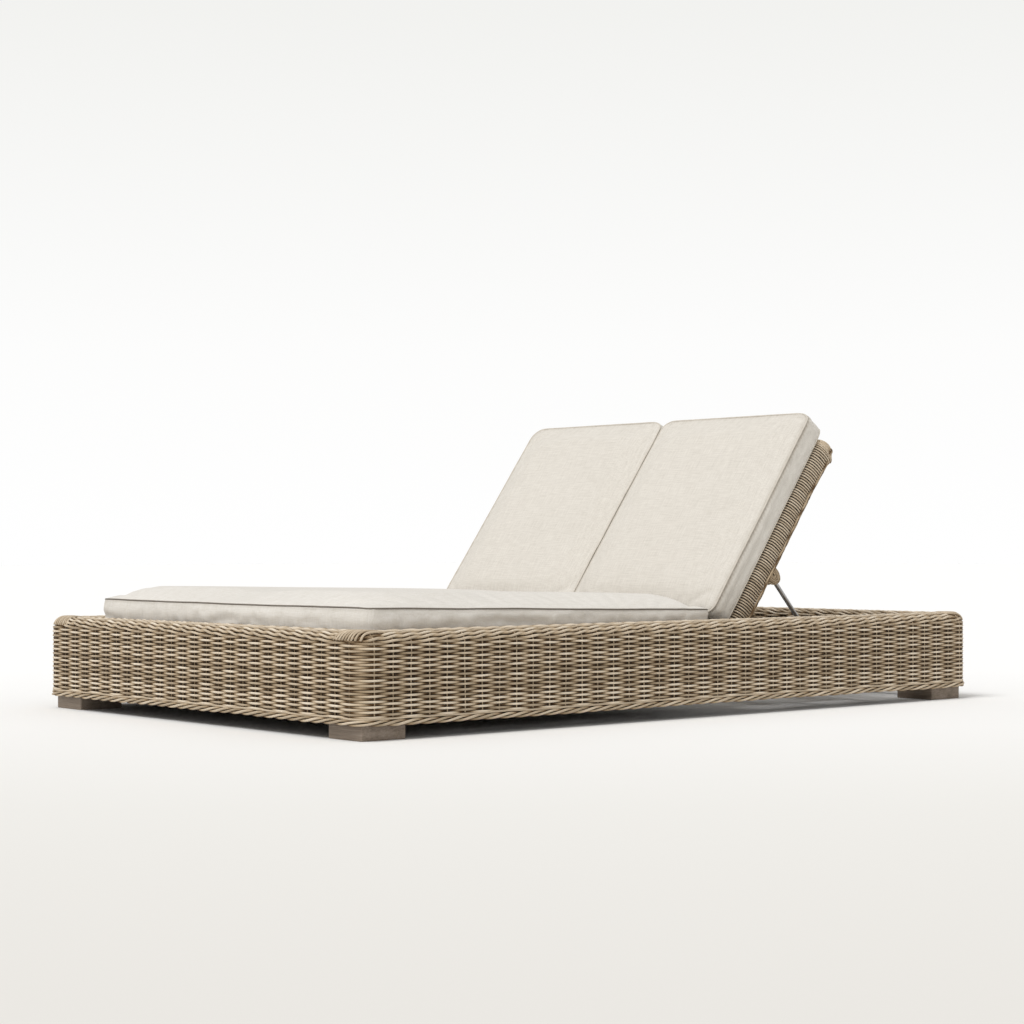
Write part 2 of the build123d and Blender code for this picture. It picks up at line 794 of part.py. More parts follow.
def make_bail(sign):
    """A bent rod with an eye at the top of each leg and a bar across its foot."""
    pivot_y, pivot_z = back_point(bail_pivot_up, pivot_behind)
    foot_bar_y, foot_bar_z = bail_foot(0)
    inner_x, outer_x = sign * leg_inner_x, sign * leg_outer_x
    with BuildPart() as bail:
        with BuildLine():
            FilletPolyline(
                (inner_x, pivot_y, pivot_z),
                (inner_x, foot_bar_y, foot_bar_z),
                (outer_x, foot_bar_y, foot_bar_z),
                (outer_x, pivot_y, pivot_z),
                radius=bail_corner_radius,
            )
        along = (0, foot_bar_y - pivot_y, foot_bar_z - pivot_z)
        with BuildSketch(Plane(origin=(inner_x, pivot_y, pivot_z), x_dir=(1, 0, 0), z_dir=along)):
            Circle(bail_rod_radius)
        sweep()
        for x in (inner_x, outer_x):
            with BuildSketch(side_plane(x - bail_eye_wide / 2)):
                with Locations((pivot_y, pivot_z)):
                    Circle(bail_eye_radius)
            extrude(amount=bail_eye_wide)
        for x in (inner_x, outer_x):
            with BuildSketch(side_plane(x - bail_eye_wide / 2)):
                with Locations((pivot_y, pivot_z)):
                    Circle(bail_pin_radius + bail_pin_gap)
            extrude(amount=bail_eye_wide, mode=Mode.SUBTRACT)
    return bail


# Cushions
def make_cushion(left, right, plan_plane, low, high, tallest, sections):
    """A cushion with slightly hollow sides, cut from its plan to a crowned top.

    Each section has its plane, the height of its base and the points of its top.
    """
    with BuildPart() as crown:
        for plane, base, top in sections:
            with BuildSketch(plane):
                with BuildLine():
                    Polyline(top[0], (left, base), (right, base), top[-1])
                    Spline(*top)
                make_face()
        loft()
    with BuildPart() as cushion:
        with BuildSketch(plan_plane) as plan:
            with BuildLine():
                SagittaArc((left, low), (right, low), cushion_drawn_in)
                SagittaArc((right, low), (right, high), cushion_drawn_in)
                SagittaArc((right, high), (left, high), cushion_drawn_in)
                SagittaArc((left, high), (left, low), cushion_drawn_in)
            make_face()
            fillet(plan.vertices(), cushion_corner_radius)
        extrude(amount=tallest)
        add(crown.part, mode=Mode.INTERSECT)
        top_face = cushion.faces().sort_by(Axis(plan_plane.origin, plan_plane.z_dir))[-1]
        fillet(top_face.edges(), cushion_edge_round)
    return cushion


def make_seat_cushion():
    """The one wide seat cushion: two crowned halves, thinner towards the hip."""
    sections = []
    for along, rise_share in zip(seat_station_shares, seat_rise_shares):
        y = seat_front + along * (seat_rear - seat_front)
        edge = seat_edge_front + along * (seat_edge_rear - seat_edge_front)
        rise = seat_end_crown + rise_share * (seat_crown - seat_end_crown)
        middle_rise = rise * (1 - seat_valley / seat_crown)
        top = [
            (-seat_outer_x, edge),
            (-seat_outer_x / 2, edge + rise),
            (0, edge + middle_rise),
            (seat_outer_x / 2, edge + rise),
            (seat_outer_x, edge),
        ]
        sections.append((Plane.XZ.offset(-y), deck_top, top))
    tallest = seat_edge_front + 2 * seat_crown - deck_top
    plane = Plane.XY.offset(deck_top)
    return make_cushion(-seat_outer_x, seat_outer_x, plane, seat_front, seat_rear, tallest, sections)


def make_back_cushion(sign):
    """A back cushion, flat behind and crowned in front."""
    rear = cushion_thick - cushion_rear_gap
    left, wide = stretch(sign, cushion_half_gap, panel_outer_x)
    right = left + wide
    sections = []
    for along, rise_share in zip(back_station_shares, back_rise_shares):
        rise = back_end_crown + rise_share * (back_crown - back_end_crown)
        top = [(left, 0), ((left + right) / 2, rise), (right, 0)]
        sections.append((back_section_plane(along * back_cushion_length), -rear, top))
    plane = back_front_plane(rear)
    tallest = rear + 2 * back_crown
    return make_cushion(left, right, plane, 0, back_cushion_length, tallest, sections)


keep(make_seat_cushion(), "seat_cushion")
for side, sign in SIDES.items():
    keep(make_back_weave(sign), f"back_weave_{side}")
    keep(make_back_frame(sign), f"back_frame_{side}")
    keep(make_hinge_lugs(sign), f"hinge_lugs_{side}")
    keep(make_hinge_bushes(sign), f"hinge_bushes_{side}")
    keep(make_knuckles(sign), f"bail_knuckles_{side}")
    keep(make_bail_pins(sign), f"bail_pins_{side}")
    keep(make_back_cushion(sign), f"back_cushion_{side}")
    keep(make_bail(sign), f"prop_bail_{side}")
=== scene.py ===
"""Looks of the double chaise lounger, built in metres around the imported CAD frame.

+Y runs towards the head end, +X is the right-hand side seen from the foot end, +Z is up.
Points are worked out in millimetres and become metres when their object is made.
"""

import json
import math

import bpy
import numpy as np
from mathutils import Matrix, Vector
from mathutils.bvhtree import BVHTree
from mathutils.kdtree import KDTree


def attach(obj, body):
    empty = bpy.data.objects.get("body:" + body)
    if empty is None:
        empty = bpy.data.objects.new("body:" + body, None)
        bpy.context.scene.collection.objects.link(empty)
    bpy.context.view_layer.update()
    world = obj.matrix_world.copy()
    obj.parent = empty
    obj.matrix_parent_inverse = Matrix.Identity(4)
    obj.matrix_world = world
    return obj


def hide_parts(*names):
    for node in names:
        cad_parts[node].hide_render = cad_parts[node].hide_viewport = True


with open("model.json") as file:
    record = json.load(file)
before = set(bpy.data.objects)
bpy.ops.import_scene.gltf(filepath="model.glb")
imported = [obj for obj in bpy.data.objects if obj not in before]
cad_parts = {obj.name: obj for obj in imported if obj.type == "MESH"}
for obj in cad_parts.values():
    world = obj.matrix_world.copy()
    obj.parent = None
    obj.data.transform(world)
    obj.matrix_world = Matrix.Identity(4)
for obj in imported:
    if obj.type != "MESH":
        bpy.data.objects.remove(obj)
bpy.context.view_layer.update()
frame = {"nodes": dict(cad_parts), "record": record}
nodes = frame["nodes"]
random = np.random.default_rng(7)
MM = 0.001
SIDES = {"left": -1, "right": 1}

# Sizes repeated from the CAD source, in millimetres
HALF_WIDTH = 710.0
HALF_LENGTH = 1100.0
CORNER_RADIUS = 45.0
INNER_CORNER_RADIUS = 12.0
CREST = 248.0
RIM_WIDE = 98.0
OUTER_ROUNDING = 34.0
INNER_ROUNDING = 22.0
SKIRT_BOTTOM = 100.0
DECK_TOP = 228.0
BACK_CORNER = (162.51, 261.97)
SLOPE = math.radians(54.0)
PANEL_START = 24.0
PANEL_FRONT = 70.0
PANEL_REAR = 138.0
PANEL_NEAR = 4.0
PANEL_FAR = 577.0
PANEL_MIDDLE = (PANEL_FRONT + PANEL_REAR) / 2
PANEL_HALF = (PANEL_REAR - PANEL_FRONT) / 2
KNUCKLE_UP = 220.0
KNUCKLE_HALF = 21.0
KNUCKLE_REACH = 28.0
# Faces of the knuckle's cheeks: X, the way each looks and how thick the cheek is
CHEEKS = ((PANEL_FAR, 1, 5.0), (549.8, -1, 8.0), (31.2, 1, 8.0), (PANEL_NEAR, -1, 5.0))

# The panels' upper end, a little lower and fuller than in the CAD source
PANEL_TOP = 644.0
PANEL_END_ROUND = 30.0
ROLL_PLACES = (500.0, 540.0, 598.0, 620.0)
ROLL_REARS = (138.0, 144.8, 144.8, 155.0)
ROLL_REAR = 155.0

# The base's weave
STRAND = 2.95
PITCH = 5.95
WAVE = 3.1
STAKE = 1.7
PROUD = 1.0
MIDDLE = PROUD - WAVE - STRAND
# How far behind the weave the dark sheet of painted shade lies
SHADE_SHEET_OFFSET = -8.8
STEPS = 6
BASE_COUNTS = (25, 40)
FIRST_ROW = 54.0
CREST_SHARPNESS = 1.25
RIM_CLIMB = 0.7
RIM_CALM = 0.25

# The fans of strands at the base's corners
FAN_COUNT = 9
FAN_STRAND = 3.0
FAN_LONG = 72.0
FAN_START = 10.0
FAN_BED = 2.5

# The border along the base's lower edge
BORDER_HEIGHT = 45.0
BORDER_INSET = 5.5
BORDER_TURNS = 50
BORDER_LAYS = 3
BORDER_STRAND = 3.0
BORDER_UPPER_STRAND = 2.8
BORDER_STEPS = 10

# The backs' weave
BACK_PITCH = 7.9
BACK_STRAND = 3.5
WRAP_STRAND = 2.2
BACK_COUNT = 11
BACK_STEPS = 5
END_STEPS = 12
END_PITCH = 0.8 * BACK_PITCH
FRONT_DRAWN = 0.25
TOP_FRONT = PANEL_FRONT + FRONT_DRAWN * PANEL_END_ROUND
TOP_REAR = ROLL_REAR - PANEL_END_ROUND
TOP_STRAND = 2.6
BAND_STRANDS = 3
BAND_STRAND = 2.1
BAND_INSET = 4.0
BAND_PITCH = 6.6
KNUCKLE_STRAND = 2.5

# The cushions
VOXEL = 8.0
BACK_CUSHION_THICK = 69.7
CUSHION_CAP = 12.0
CUSHION_SWELL = 8.0
FOLD_DEPTH = 7.5


def add_object(name, data):
    """An object of this data, in the scene."""
    obj = bpy.data.objects.new(name, data)
    bpy.context.scene.collection.objects.link(obj)
    return obj


def aim(obj, direction):
    """Turns a lamp or camera to look this way."""
    obj.rotation_mode = "QUATERNION"
    obj.rotation_quaternion = Vector(direction).to_track_quat("-Z", "Y")


def make_object(name, verts, faces, smooth=True):
    """A mesh object from vertices in millimetres."""
    mesh = bpy.data.meshes.new(name)
    mesh.from_pydata((np.asarray(verts) * MM).tolist(), [], faces)
    mesh.polygons.foreach_set("use_smooth", np.full(len(mesh.polygons), smooth))
    mesh.update()
    return add_object(name, mesh)


def dress(obj, material, slot, body, *replaced):
    """Gives a piece its material and its body, and hides the CAD nodes it stands for; its slot is
    not used.
    """
    obj.data.materials.clear()
    obj.data.materials.append(material)
    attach(obj, body)
    if replaced:
        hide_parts(*replaced)
    return obj


def set_float(obj, name, values):
    """A number on each vertex."""
    attribute = obj.data.attributes.new(name, "FLOAT", "POINT")
    attribute.data.foreach_set("value", np.asarray(values, np.float32).ravel())


def set_vector(obj, name, values):
    """A vector on each vertex."""
    attribute = obj.data.attributes.new(name, "FLOAT_VECTOR", "POINT")
    attribute.data.foreach_set("vector", np.asarray(values, np.float32).ravel())


def get_points(obj):
    """The vertices of a mesh object, in millimetres."""
    flat = np.empty(3 * len(obj.data.vertices), np.float32)
    obj.data.vertices.foreach_get("co", flat)
    return flat.reshape(-1, 3).astype(float) / MM


def put_points(obj, points):
    """Moves the vertices of a mesh object to points in millimetres."""
    obj.data.vertices.foreach_set("co", (points * MM).astype(np.float32).ravel())
    obj.data.update()


def unit(vectors):
    """Vectors of length one."""
    return vectors / np.linalg.norm(vectors, axis=-1, keepdims=True)


def ring_faces(rings, around):
    """Quads between successive closed rings of as many points each."""
    index = np.arange(rings * around).reshape(rings, around)
    low, high = index[:-1], index[1:]
    quads = np.stack([low, np.roll(low, -1, axis=1), np.roll(high, -1, axis=1), high], -1)
    return quads.reshape(-1, 4).tolist(), index


def smooth_noise(many, points, cells):
    """Gentle closed waves, one row for each strand, between about -1 and 1."""
    t = np.arange(points) / points * 2 * math.pi
    total = np.zeros((many, points))
    for k in range(1, 5):
        turns = np.round(random.uniform(0.5, 1.5, (many, 1)) * cells * k / 2)
        total += np.sin(turns * t + random.uniform(0, 2 * math.pi, (many, 1))) / k
    return total / 1.6


class Strands:
    """Collects round strands and makes one mesh of them."""

    def __init__(self, name, sides=6):
        self.name = name
        self.sides = sides
        self.verts, self.faces, self.tone, self.proud, self.grain = [], [], [], [], []
        self.count = 0
        self.number = 0

    def add(self, paths, normals, radius, closed=False, proud=1.0, tone=None):
        """Adds strands along paths of shape (strands, points, 3), all in millimetres."""
        paths = np.asarray(paths, float)
        normals = np.broadcast_to(np.asarray(normals, float), paths.shape)
        many, points = paths.shape[:2]
        if closed:
            along = unit(np.roll(paths, -1, axis=1) - np.roll(paths, 1, axis=1))
        else:
            along = unit(np.gradient(paths, axis=1))
        across = unit(np.cross(along, normals))
        outward = np.cross(across, along)
        radius = np.broadcast_to(np.asarray(radius, float), (many, points))
        turn = np.arange(self.sides) * 2 * math.pi / self.sides
        ring = paths[:, :, None, :] + radius[:, :, None, None] * (
            np.cos(turn)[:, None] * outward[:, :, None, :]
            + np.sin(turn)[:, None] * across[:, :, None, :]
        )
        index = np.arange(many * points * self.sides).reshape(many, points, self.sides)
        index += self.count
        near = index if closed else index[:, :-1]
        far = np.roll(index, -1, axis=1) if closed else index[:, 1:]
        quads = np.stack([near, np.roll(near, -1, axis=2), np.roll(far, -1, axis=2), far], -1)
        self.faces += quads.reshape(-1, 4).tolist()
        if not closed:
            self.faces += index[:, 0, ::-1].tolist() + index[:, -1, :].tolist()
        self.verts.append(ring.reshape(-1, 3))
        self.count += many * points * self.sides
        if tone is None:
            tone = random.random(many)
        tone = np.broadcast_to(np.asarray(tone, float).reshape(-1, 1, 1), ring.shape[:3])
        self.tone.append(tone.ravel())
        # Painted shade on each point, from 0 deep in shade to 1 fully lit, which the wicker
        # material turns into colour
        proud = np.broadcast_to(np.asarray(proud, float), (many, points))
        self.proud.append(np.repeat(proud[:, :, None], self.sides, axis=2).ravel())
        step = np.linalg.norm(np.diff(paths, axis=1, prepend=paths[:, :1]), axis=2)
        grain = np.zeros(ring.shape)
        grain[..., 0] = np.cumsum(step, axis=1)[:, :, None] * MM
        grain[..., 1] = np.cos(turn) * STRAND * MM
        grain[..., 1] += (self.number + np.arange(many))[:, None, None] * 0.37
        grain[..., 2] = np.sin(turn) * STRAND * MM
        self.grain.append(grain.reshape(-1, 3))
        self.number += many

    def build(self, body, *replaced):
        """Makes the woven piece, on its body, in place of these CAD nodes."""
        obj = make_object(self.name, np.concatenate(self.verts), self.faces)
        set_float(obj, "tone", np.concatenate(self.tone))
        set_float(obj, "proud", np.concatenate(self.proud))
        set_vector(obj, "grain", np.concatenate(self.grain))
        return dress(obj, WICKER, "wicker", body, *replaced)


class Nodes:
    """Short names for building the node tree of a material or world."""

    SOCKETS = {
        "color": "Base Color",
        "roughness": "Roughness",
        "normal": "Normal",
        "metallic": "Metallic",
        "sheen": "Sheen Weight",
        "sheen_roughness": "Sheen Roughness",
        "specular": "Specular IOR Level",
    }

    def __init__(self, name, group=bpy.data.materials):
        self.owner = group.new(name)
        self.owner.use_nodes = True
        self.tree = self.owner.node_tree

    def new(self, kind, **settings):
        """A node with these settings."""
        node = self.tree.nodes.new(kind)
        for key, value in settings.items():
            setattr(node, key, value)
        return node

    def feed(self, socket, value):
        """Sets a socket to a number or a colour, or links it."""
        if isinstance(value, (int, float)):
            socket.default_value = value
        elif isinstance(value, tuple):
            socket.default_value = (*value, 1)
        else:
            self.tree.links.new(value, socket)

    def number(self, name):
        """A number read from the mesh."""
        return self.new("ShaderNodeAttribute", attribute_name=name).outputs["Fac"]

    def vector(self, name):
        """A vector read from the mesh."""
        return self.new("ShaderNodeAttribute", attribute_name=name).outputs["Vector"]

    def noise(self, place, stretch, scale=1.0, detail=3.0, roughness=0.5):
        """Noise that is drawn out by a different scale along each axis."""
        mapping = self.new("ShaderNodeMapping")
        mapping.inputs["Scale"].default_value = stretch
        self.feed(mapping.inputs["Vector"], place)
        noise = self.new("ShaderNodeTexNoise")
        noise.inputs["Scale"].default_value = scale
        noise.inputs["Detail"].default_value = detail
        noise.inputs["Roughness"].default_value = roughness
        self.feed(noise.inputs["Vector"], mapping.outputs["Vector"])
        return noise.outputs["Fac"]

    def blend(self, *parts):
        """A weighted sum of numbers, from pairs of source and weight."""
        total = 0.0
        for source, weight in parts:
            node = self.new("ShaderNodeMath", operation="MULTIPLY_ADD")
            for socket, value in zip(node.inputs, (source, weight, total)):
                self.feed(socket, value)
            total = node.outputs[0]
        return total

    def span(self, source, low, high, to_low=0.0, to_high=1.0):
        """A number carried from one range to another."""
        node = self.new("ShaderNodeMapRange")
        for socket, value in zip(node.inputs, (source, low, high, to_low, to_high)):
            self.feed(socket, value)
        return node.outputs[0]

    def ramp(self, source, stops):
        """A colour ramp with these stops."""
        node = self.new("ShaderNodeValToRGB")
        elements = node.color_ramp.elements
        while len(elements) < len(stops):
            elements.new(0.5)
        for element, (place, colour) in zip(elements, stops):
            element.position = place
            element.color = (*colour, 1)
        self.feed(node.inputs["Fac"], source)
        return node.outputs["Color"]

    def multiply(self, a, b):
        """The product of two colours."""
        node = self.new("ShaderNodeMix", data_type="RGBA", blend_type="MULTIPLY")
        for socket, value in ((node.inputs[0], 1.0), (node.inputs[6], a), (node.inputs[7], b)):
            self.feed(socket, value)
        return node.outputs[2]

    def bump(self, height, strength, distance):
        """Fine relief."""
        node = self.new("ShaderNodeBump")
        for key, value in (("Height", height), ("Strength", strength), ("Distance", distance)):
            self.feed(node.inputs[key], value)
        return node.outputs["Normal"]

    def finish(self, **sockets):
        """Feeds the shader and gives the material."""
        shader = self.tree.nodes["Principled BSDF"]
        for key, value in sockets.items():
            self.feed(shader.inputs[self.SOCKETS[key]], value)
        return self.owner


def wicker_material():
    """Round resin cane streaked along its length, with painted shade that makes it pale on its
    crests and dark where it dips.
    """
    n = Nodes("wicker_strand")
    grain = n.vector("grain")
    streaks = n.noise(grain, (9, 900, 900), detail=4.0, roughness=0.6)
    patches = n.noise(grain, (12, 3, 3), detail=2.0)
    tone = n.blend((n.number("tone"), 0.45), (streaks, 0.35), (patches, 0.3))
    colour = n.ramp(tone, [
        (0.2, (0.26, 0.195, 0.125)),
        (0.45, (0.50, 0.405, 0.29)),
        (0.62, (0.69, 0.585, 0.45)),
        (0.85, (0.84, 0.745, 0.61)),
    ])
    # Painted shade: near-black brown where a strand dips behind the stakes, full colour where it
    # stands out
    shade = n.ramp(n.number("proud"), [
        (0.0, (0.06, 0.036, 0.016)),
        (0.24, (0.20, 0.135, 0.072)),
        (0.5, (0.72, 0.66, 0.57)),
        (0.9, (1.0, 1.0, 1.0)),
    ])
    rough = n.span(streaks, 0.3, 0.7, 0.5, 0.68)
    return n.finish(
        color=n.multiply(colour, shade), roughness=rough, normal=n.bump(streaks, 0.35, 0.0006),
        specular=0.22,
    )


def plain_material(name, colours, scale, roughness, metallic=0.0, relief=0.1):
    """A hard finish with mottled colour and roughness and a fine relief."""
    n = Nodes(name)
    place = n.new("ShaderNodeTexCoord").outputs["Object"]
    mottle = n.noise(place, (1, 1, 1), scale, 4.0, 0.6)
    colour = n.ramp(mottle, [(0.3, colours[0]), (0.7, colours[1])])
    fine = n.noise(place, (1, 1, 1), scale * 6)
    rough = n.span(fine, 0.3, 0.7, *roughness)
    return n.finish(
        color=colour, roughness=rough, normal=n.bump(fine, relief, 0.0004), metallic=metallic
    )


def wood_material():
    """Weathered teak: grey-brown, with its grain along X."""
    n = Nodes("weathered_teak")
    place = n.new("ShaderNodeTexCoord").outputs["Object"]
    grain = n.noise(place, (5, 60, 160), 2.2, 6.0, 0.62)
    rings = n.noise(place, (1.2, 9, 26), 3.0)
    colour = n.ramp(n.blend((grain, 0.55), (rings, 0.45)), [
        (0.3, (0.125, 0.092, 0.066)),
        (0.5, (0.25, 0.198, 0.152)),
        (0.7, (0.37, 0.305, 0.25)),
    ])
    rough = n.span(grain, 0.3, 0.7, 0.62, 0.82)
    return n.finish(color=colour, roughness=rough, normal=n.bump(grain, 0.4, 0.0008))


def linen_material(name, dark, pale):
    """Heathered linen: slubs along warp and weft over a fine weave, with painted shade in the
    groove below the seam.
    """
    n = Nodes(name)
    cloth = n.vector("cloth")
    warp = n.noise(cloth, (480, 22, 22), detail=4.0, roughness=0.65)
    weft = n.noise(cloth, (22, 480, 340), detail=4.0, roughness=0.65)
    broad = n.noise(cloth, (6, 6, 6), detail=2.0)
    fine = n.noise(cloth, (900, 900, 900), detail=2.0)
    middle = tuple((a + b) / 2 for a, b in zip(dark, pale))
    tone = n.blend((warp, 0.42), (weft, 0.42), (broad, 0.06), (fine, 0.1))
    colour = n.ramp(tone, [(0.38, dark), (0.5, middle), (0.62, pale)])
    # Painted shade in the groove just below the top seam
    seam = n.ramp(n.number("seam"), [(0.0, (1.0, 1.0, 1.0)), (1.0, (0.42, 0.37, 0.31))])
    return n.finish(
        color=n.multiply(colour, seam),
        roughness=n.span(warp, 0.3, 0.7, 0.86, 0.96),
        normal=n.bump(n.blend((warp, 0.5), (weft, 0.5), (fine, 0.5)), 0.35, 0.0008),
        sheen=0.15,
        sheen_roughness=0.5,
        specular=0.25,
    )


WICKER = wicker_material()
WEAVE_SHADOW = plain_material(
    "weave_shadow", ((0.03, 0.019, 0.01), (0.055, 0.036, 0.022)), 60, (0.8, 0.95)
)
SEAT_LINEN = linen_material("seat_linen", (0.67, 0.635, 0.57), (0.81, 0.78, 0.735))
# Painted shade: the backs' linen is the seat's linen made darker
BACK_LINEN_PAINTED_SHADE = linen_material("back_linen", (0.59, 0.552, 0.492), (0.765, 0.728, 0.665))
BACK_PIPING = linen_material("back_piping", (0.56, 0.515, 0.445), (0.70, 0.655, 0.58))
SEAT_PIPING = linen_material("seat_piping", (0.14, 0.12, 0.10), (0.24, 0.21, 0.175))
TEAK = wood_material()
COATED = plain_material(
    "powder_coat_brown", ((0.055, 0.042, 0.033), (0.075, 0.06, 0.048)), 40, (0.42, 0.6), relief=0.25
)
ROD = plain_material(
    "satin_steel", ((0.34, 0.335, 0.33), (0.44, 0.435, 0.43)), 30, (0.3, 0.45), metallic=1.0
)
FASTENER = plain_material(
    "zinc_steel", ((0.42, 0.41, 0.4), (0.52, 0.51, 0.5)), 80, (0.35, 0.5), metallic=1.0
)
NYLON = plain_material("black_nylon", ((0.02,) * 3, (0.035,) * 3), 90, (0.45, 0.6))
RUBBER = plain_material("black_rubber", ((0.015,) * 3, (0.03,) * 3), 70, (0.7, 0.85))
SLOT_MATERIALS = {
    "wicker": WEAVE_SHADOW,
    "linen": SEAT_LINEN,
    "teak": TEAK,
    "frame_aluminium": COATED,
    "bracket_steel": COATED,
    "rod_steel": ROD,
    "fastener_steel": FASTENER,
    "bush_nylon": NYLON,
    "pad_rubber": RUBBER,
}


def finish_cad_nodes():
    """Gives each CAD node the material of its slot."""
    for part in frame["record"]["subparts"]:
        mesh = nodes[part["node"]].data
        mesh.materials.clear()
        mesh.materials.append(SLOT_MATERIALS[part["material_slot"]])


# The woven base
def plan_radius(inset):
    """Corner radius of the rim's plan at an inset from the outer wall."""
    flat_start, flat_end = OUTER_ROUNDING, RIM_WIDE - INNER_ROUNDING
    at_start = CORNER_RADIUS - flat_start
    at_end = INNER_CORNER_RADIUS + INNER_ROUNDING
    if inset <= flat_start:
        return CORNER_RADIUS - inset
    if inset <= flat_end:
        return at_start + (inset - flat_start) / (flat_end - flat_start) * (at_end - at_start)
    return at_end - (inset - flat_end)


def rounded_outline(half_x, half_y, radius, counts, steps):
    """A closed outline with counts[side] stake pitches on each straight and one in each corner."""
    points, outward = [], []
    corners = [(1, -1), (1, 1), (-1, 1), (-1, -1)]
    for side, (end_x, end_y) in enumerate(corners):
        start_x, start_y = corners[side - 1]
        start = np.array([start_x * (half_x - radius), start_y * (half_y - radius)])
        end = np.array([end_x * (half_x - radius), end_y * (half_y - radius)])
        normal = np.array([(0, -1), (1, 0), (0, 1), (-1, 0)][side], float)
        number = counts[side % 2] * steps
        t = np.arange(number)[:, None] / number
        points.append(start + t * (end - start) + normal * radius)
        outward.append(np.repeat(normal[None, :], number, axis=0))
        angle = math.radians(90 * (side - 1)) + np.arange(steps) / steps * math.pi / 2
        arc = np.stack([np.cos(angle), np.sin(angle)], -1)
        points.append(end + arc * radius)
        outward.append(arc)
    return np.concatenate(points), np.concatenate(outward)


def rim_profile():
    """Inset, height and outward direction along the base's section, from its lower edge inwards."""
    rows = []
    z = FIRST_ROW
    while z < CREST - OUTER_ROUNDING:
        rows.append((0.0, z, 1.0, 0.0))
        z += PITCH
    turn = (z - (CREST - OUTER_ROUNDING)) / OUTER_ROUNDING
    while turn < math.pi / 2:
        inset = OUTER_ROUNDING * (1 - math.cos(turn))
        drop = OUTER_ROUNDING * (1 - math.sin(turn))
        rows.append((inset, CREST - drop, math.cos(turn), math.sin(turn)))
        turn += PITCH / OUTER_ROUNDING
    inset = OUTER_ROUNDING + (turn - math.pi / 2) * OUTER_ROUNDING
    while inset < RIM_WIDE - INNER_ROUNDING:
        rows.append((inset, CREST, 0.0, 1.0))
        inset += PITCH
    turn = (inset - RIM_WIDE + INNER_ROUNDING) / INNER_ROUNDING
    while turn < math.pi / 2:
        inset = RIM_WIDE - INNER_ROUNDING * (1 - math.sin(turn))
        drop = INNER_ROUNDING * (1 - math.cos(turn))
        rows.append((inset, CREST - drop, -math.sin(turn), math.cos(turn)))
        turn += PITCH / INNER_ROUNDING
    z = CREST - INNER_ROUNDING - (turn - math.pi / 2) * INNER_ROUNDING
    while z > SKIRT_BOTTOM:
        rows.append((RIM_WIDE, z, -1.0, 0.0))
        z -= PITCH
    return rows


def base_surface(rows, steps):
    """Points and outward directions of the base's skin, one row for each place on the profile."""
    points, normals = [], []
    for inset, z, side, up in rows:
        plan, outward = rounded_outline(
            HALF_WIDTH - inset, HALF_LENGTH - inset, plan_radius(inset), BASE_COUNTS, steps
        )
        points.append(np.column_stack([plan, np.full(len(plan), z)]))
        normals.append(np.column_stack([outward * side, np.full(len(plan), up)]))
    return np.array(points), np.array(normals)


def corner_calm(around):
    """How far each place round the base is from a corner: 0 in the corners, 1 past their arcs."""
    stations = np.arange(around) / STEPS
    total = around / STEPS
    middles, at = [], 0.0
    for side in range(4):
        at += BASE_COUNTS[side % 2] + 0.5
        middles.append(at)
        at += 0.5
    away = np.min([np.abs((stations - m + total / 2) % total - total / 2) for m in middles], axis=0)
    return np.clip(away - 0.2, 0, 1)


def weave_base():
    """Rows over and under the stakes, on the outer wall, over the rim and down the skirt."""
    rows = rim_profile()
    points, normals = base_surface(rows, STEPS)
    many, around = points.shape[:2]
    out, up = np.array(rows)[:, 2:].T
    phase = math.pi * (np.arange(around) / STEPS + np.arange(many)[:, None] % 2)
    wave = np.cos(phase)
    wave = np.sign(wave) * np.abs(wave) ** CREST_SHARPNESS
    wave *= 0.6 + 0.4 * corner_calm(around)
    on_rim = np.clip((up - 0.25) / 0.2, 0, 1)[:, None]
    # Each crest on the rim climbs to its next row, one way on the right and the other elsewhere
    sense = 2 * np.clip(normals[0, :, 0], 0, 1) - 1
    climb = unit(np.roll(points, -1, axis=0) - points)
    climb[-1] = climb[-2]
    drift = smooth_noise(many, around, 60) * 0.55
    drift += PITCH * RIM_CLIMB * on_rim * sense * np.sin(phase)
    lift = MIDDLE + WAVE * wave * (1 - RIM_CALM * on_rim)
    # Painted shade: each row dark where it dips under a stake and pale where it crosses over, and a
    # little lighter on the rim
    proud = 0.5 + 0.5 * wave * (1 - RIM_CALM * on_rim) + 0.1 * on_rim
    # The rows lie lower under the fans of strands at the corners, and are painted darker there as
    # shade
    aside, ahead = np.abs(points[..., 0]), np.abs(points[..., 1])
    fanned = (aside > HALF_WIDTH - RIM_WIDE) & (aside < HALF_WIDTH - FAN_START)
    fanned &= (ahead > HALF_LENGTH - FAN_LONG) & (up > 0.3)[:, None]
    lift -= FAN_BED * fanned
    proud = proud * (1 - 0.6 * fanned)
    woven = points + normals * lift[..., None] + climb * drift[..., None]
    thick = STRAND * (1 + 0.06 * smooth_noise(many, around, 80) + 0.08 * on_rim)
    for name, chosen, replaced in (
        ("base_wall_weave", (out > 0) & (up < 0.25), ("base_weave",)),
        ("base_rim_weave", up >= 0.25, ()),
        ("base_skirt_weave", (out < 0) & (up < 0.25), ()),
    ):
        strands = Strands(name)
        strands.add(woven[chosen], normals[chosen], thick[chosen], closed=True, proud=proud[chosen])
        strands.build("base", *replaced)
    set_stakes(rows)


def set_stakes(rows):
    """Thin upright stakes that the rows pass over and under."""
    skin, outward = base_surface(rows, 1)
    lines = (skin + outward * MIDDLE).transpose(1, 0, 2)
    directions = outward.transpose(1, 0, 2)
    tangent = unit(np.cross(directions, np.gradient(lines, axis=1)))
    lean = smooth_noise(len(lines), lines.shape[1], 2)[:, :, None] * 1.1
    stakes = Strands("base_stakes")
    tones = 0.05 + 0.55 * random.random(len(lines))
    # Painted shade: the stakes sit back in the weave and are painted darker on the end faces than
    # on the sides
    proud = np.where(np.abs(directions[:, :1, 0]) > 0.5, 0.6, 0.36) * np.ones(lines.shape[1])
    stakes.add(lines + tangent * lean, directions, STAKE, proud=proud, tone=tones)
    stakes.build("base")


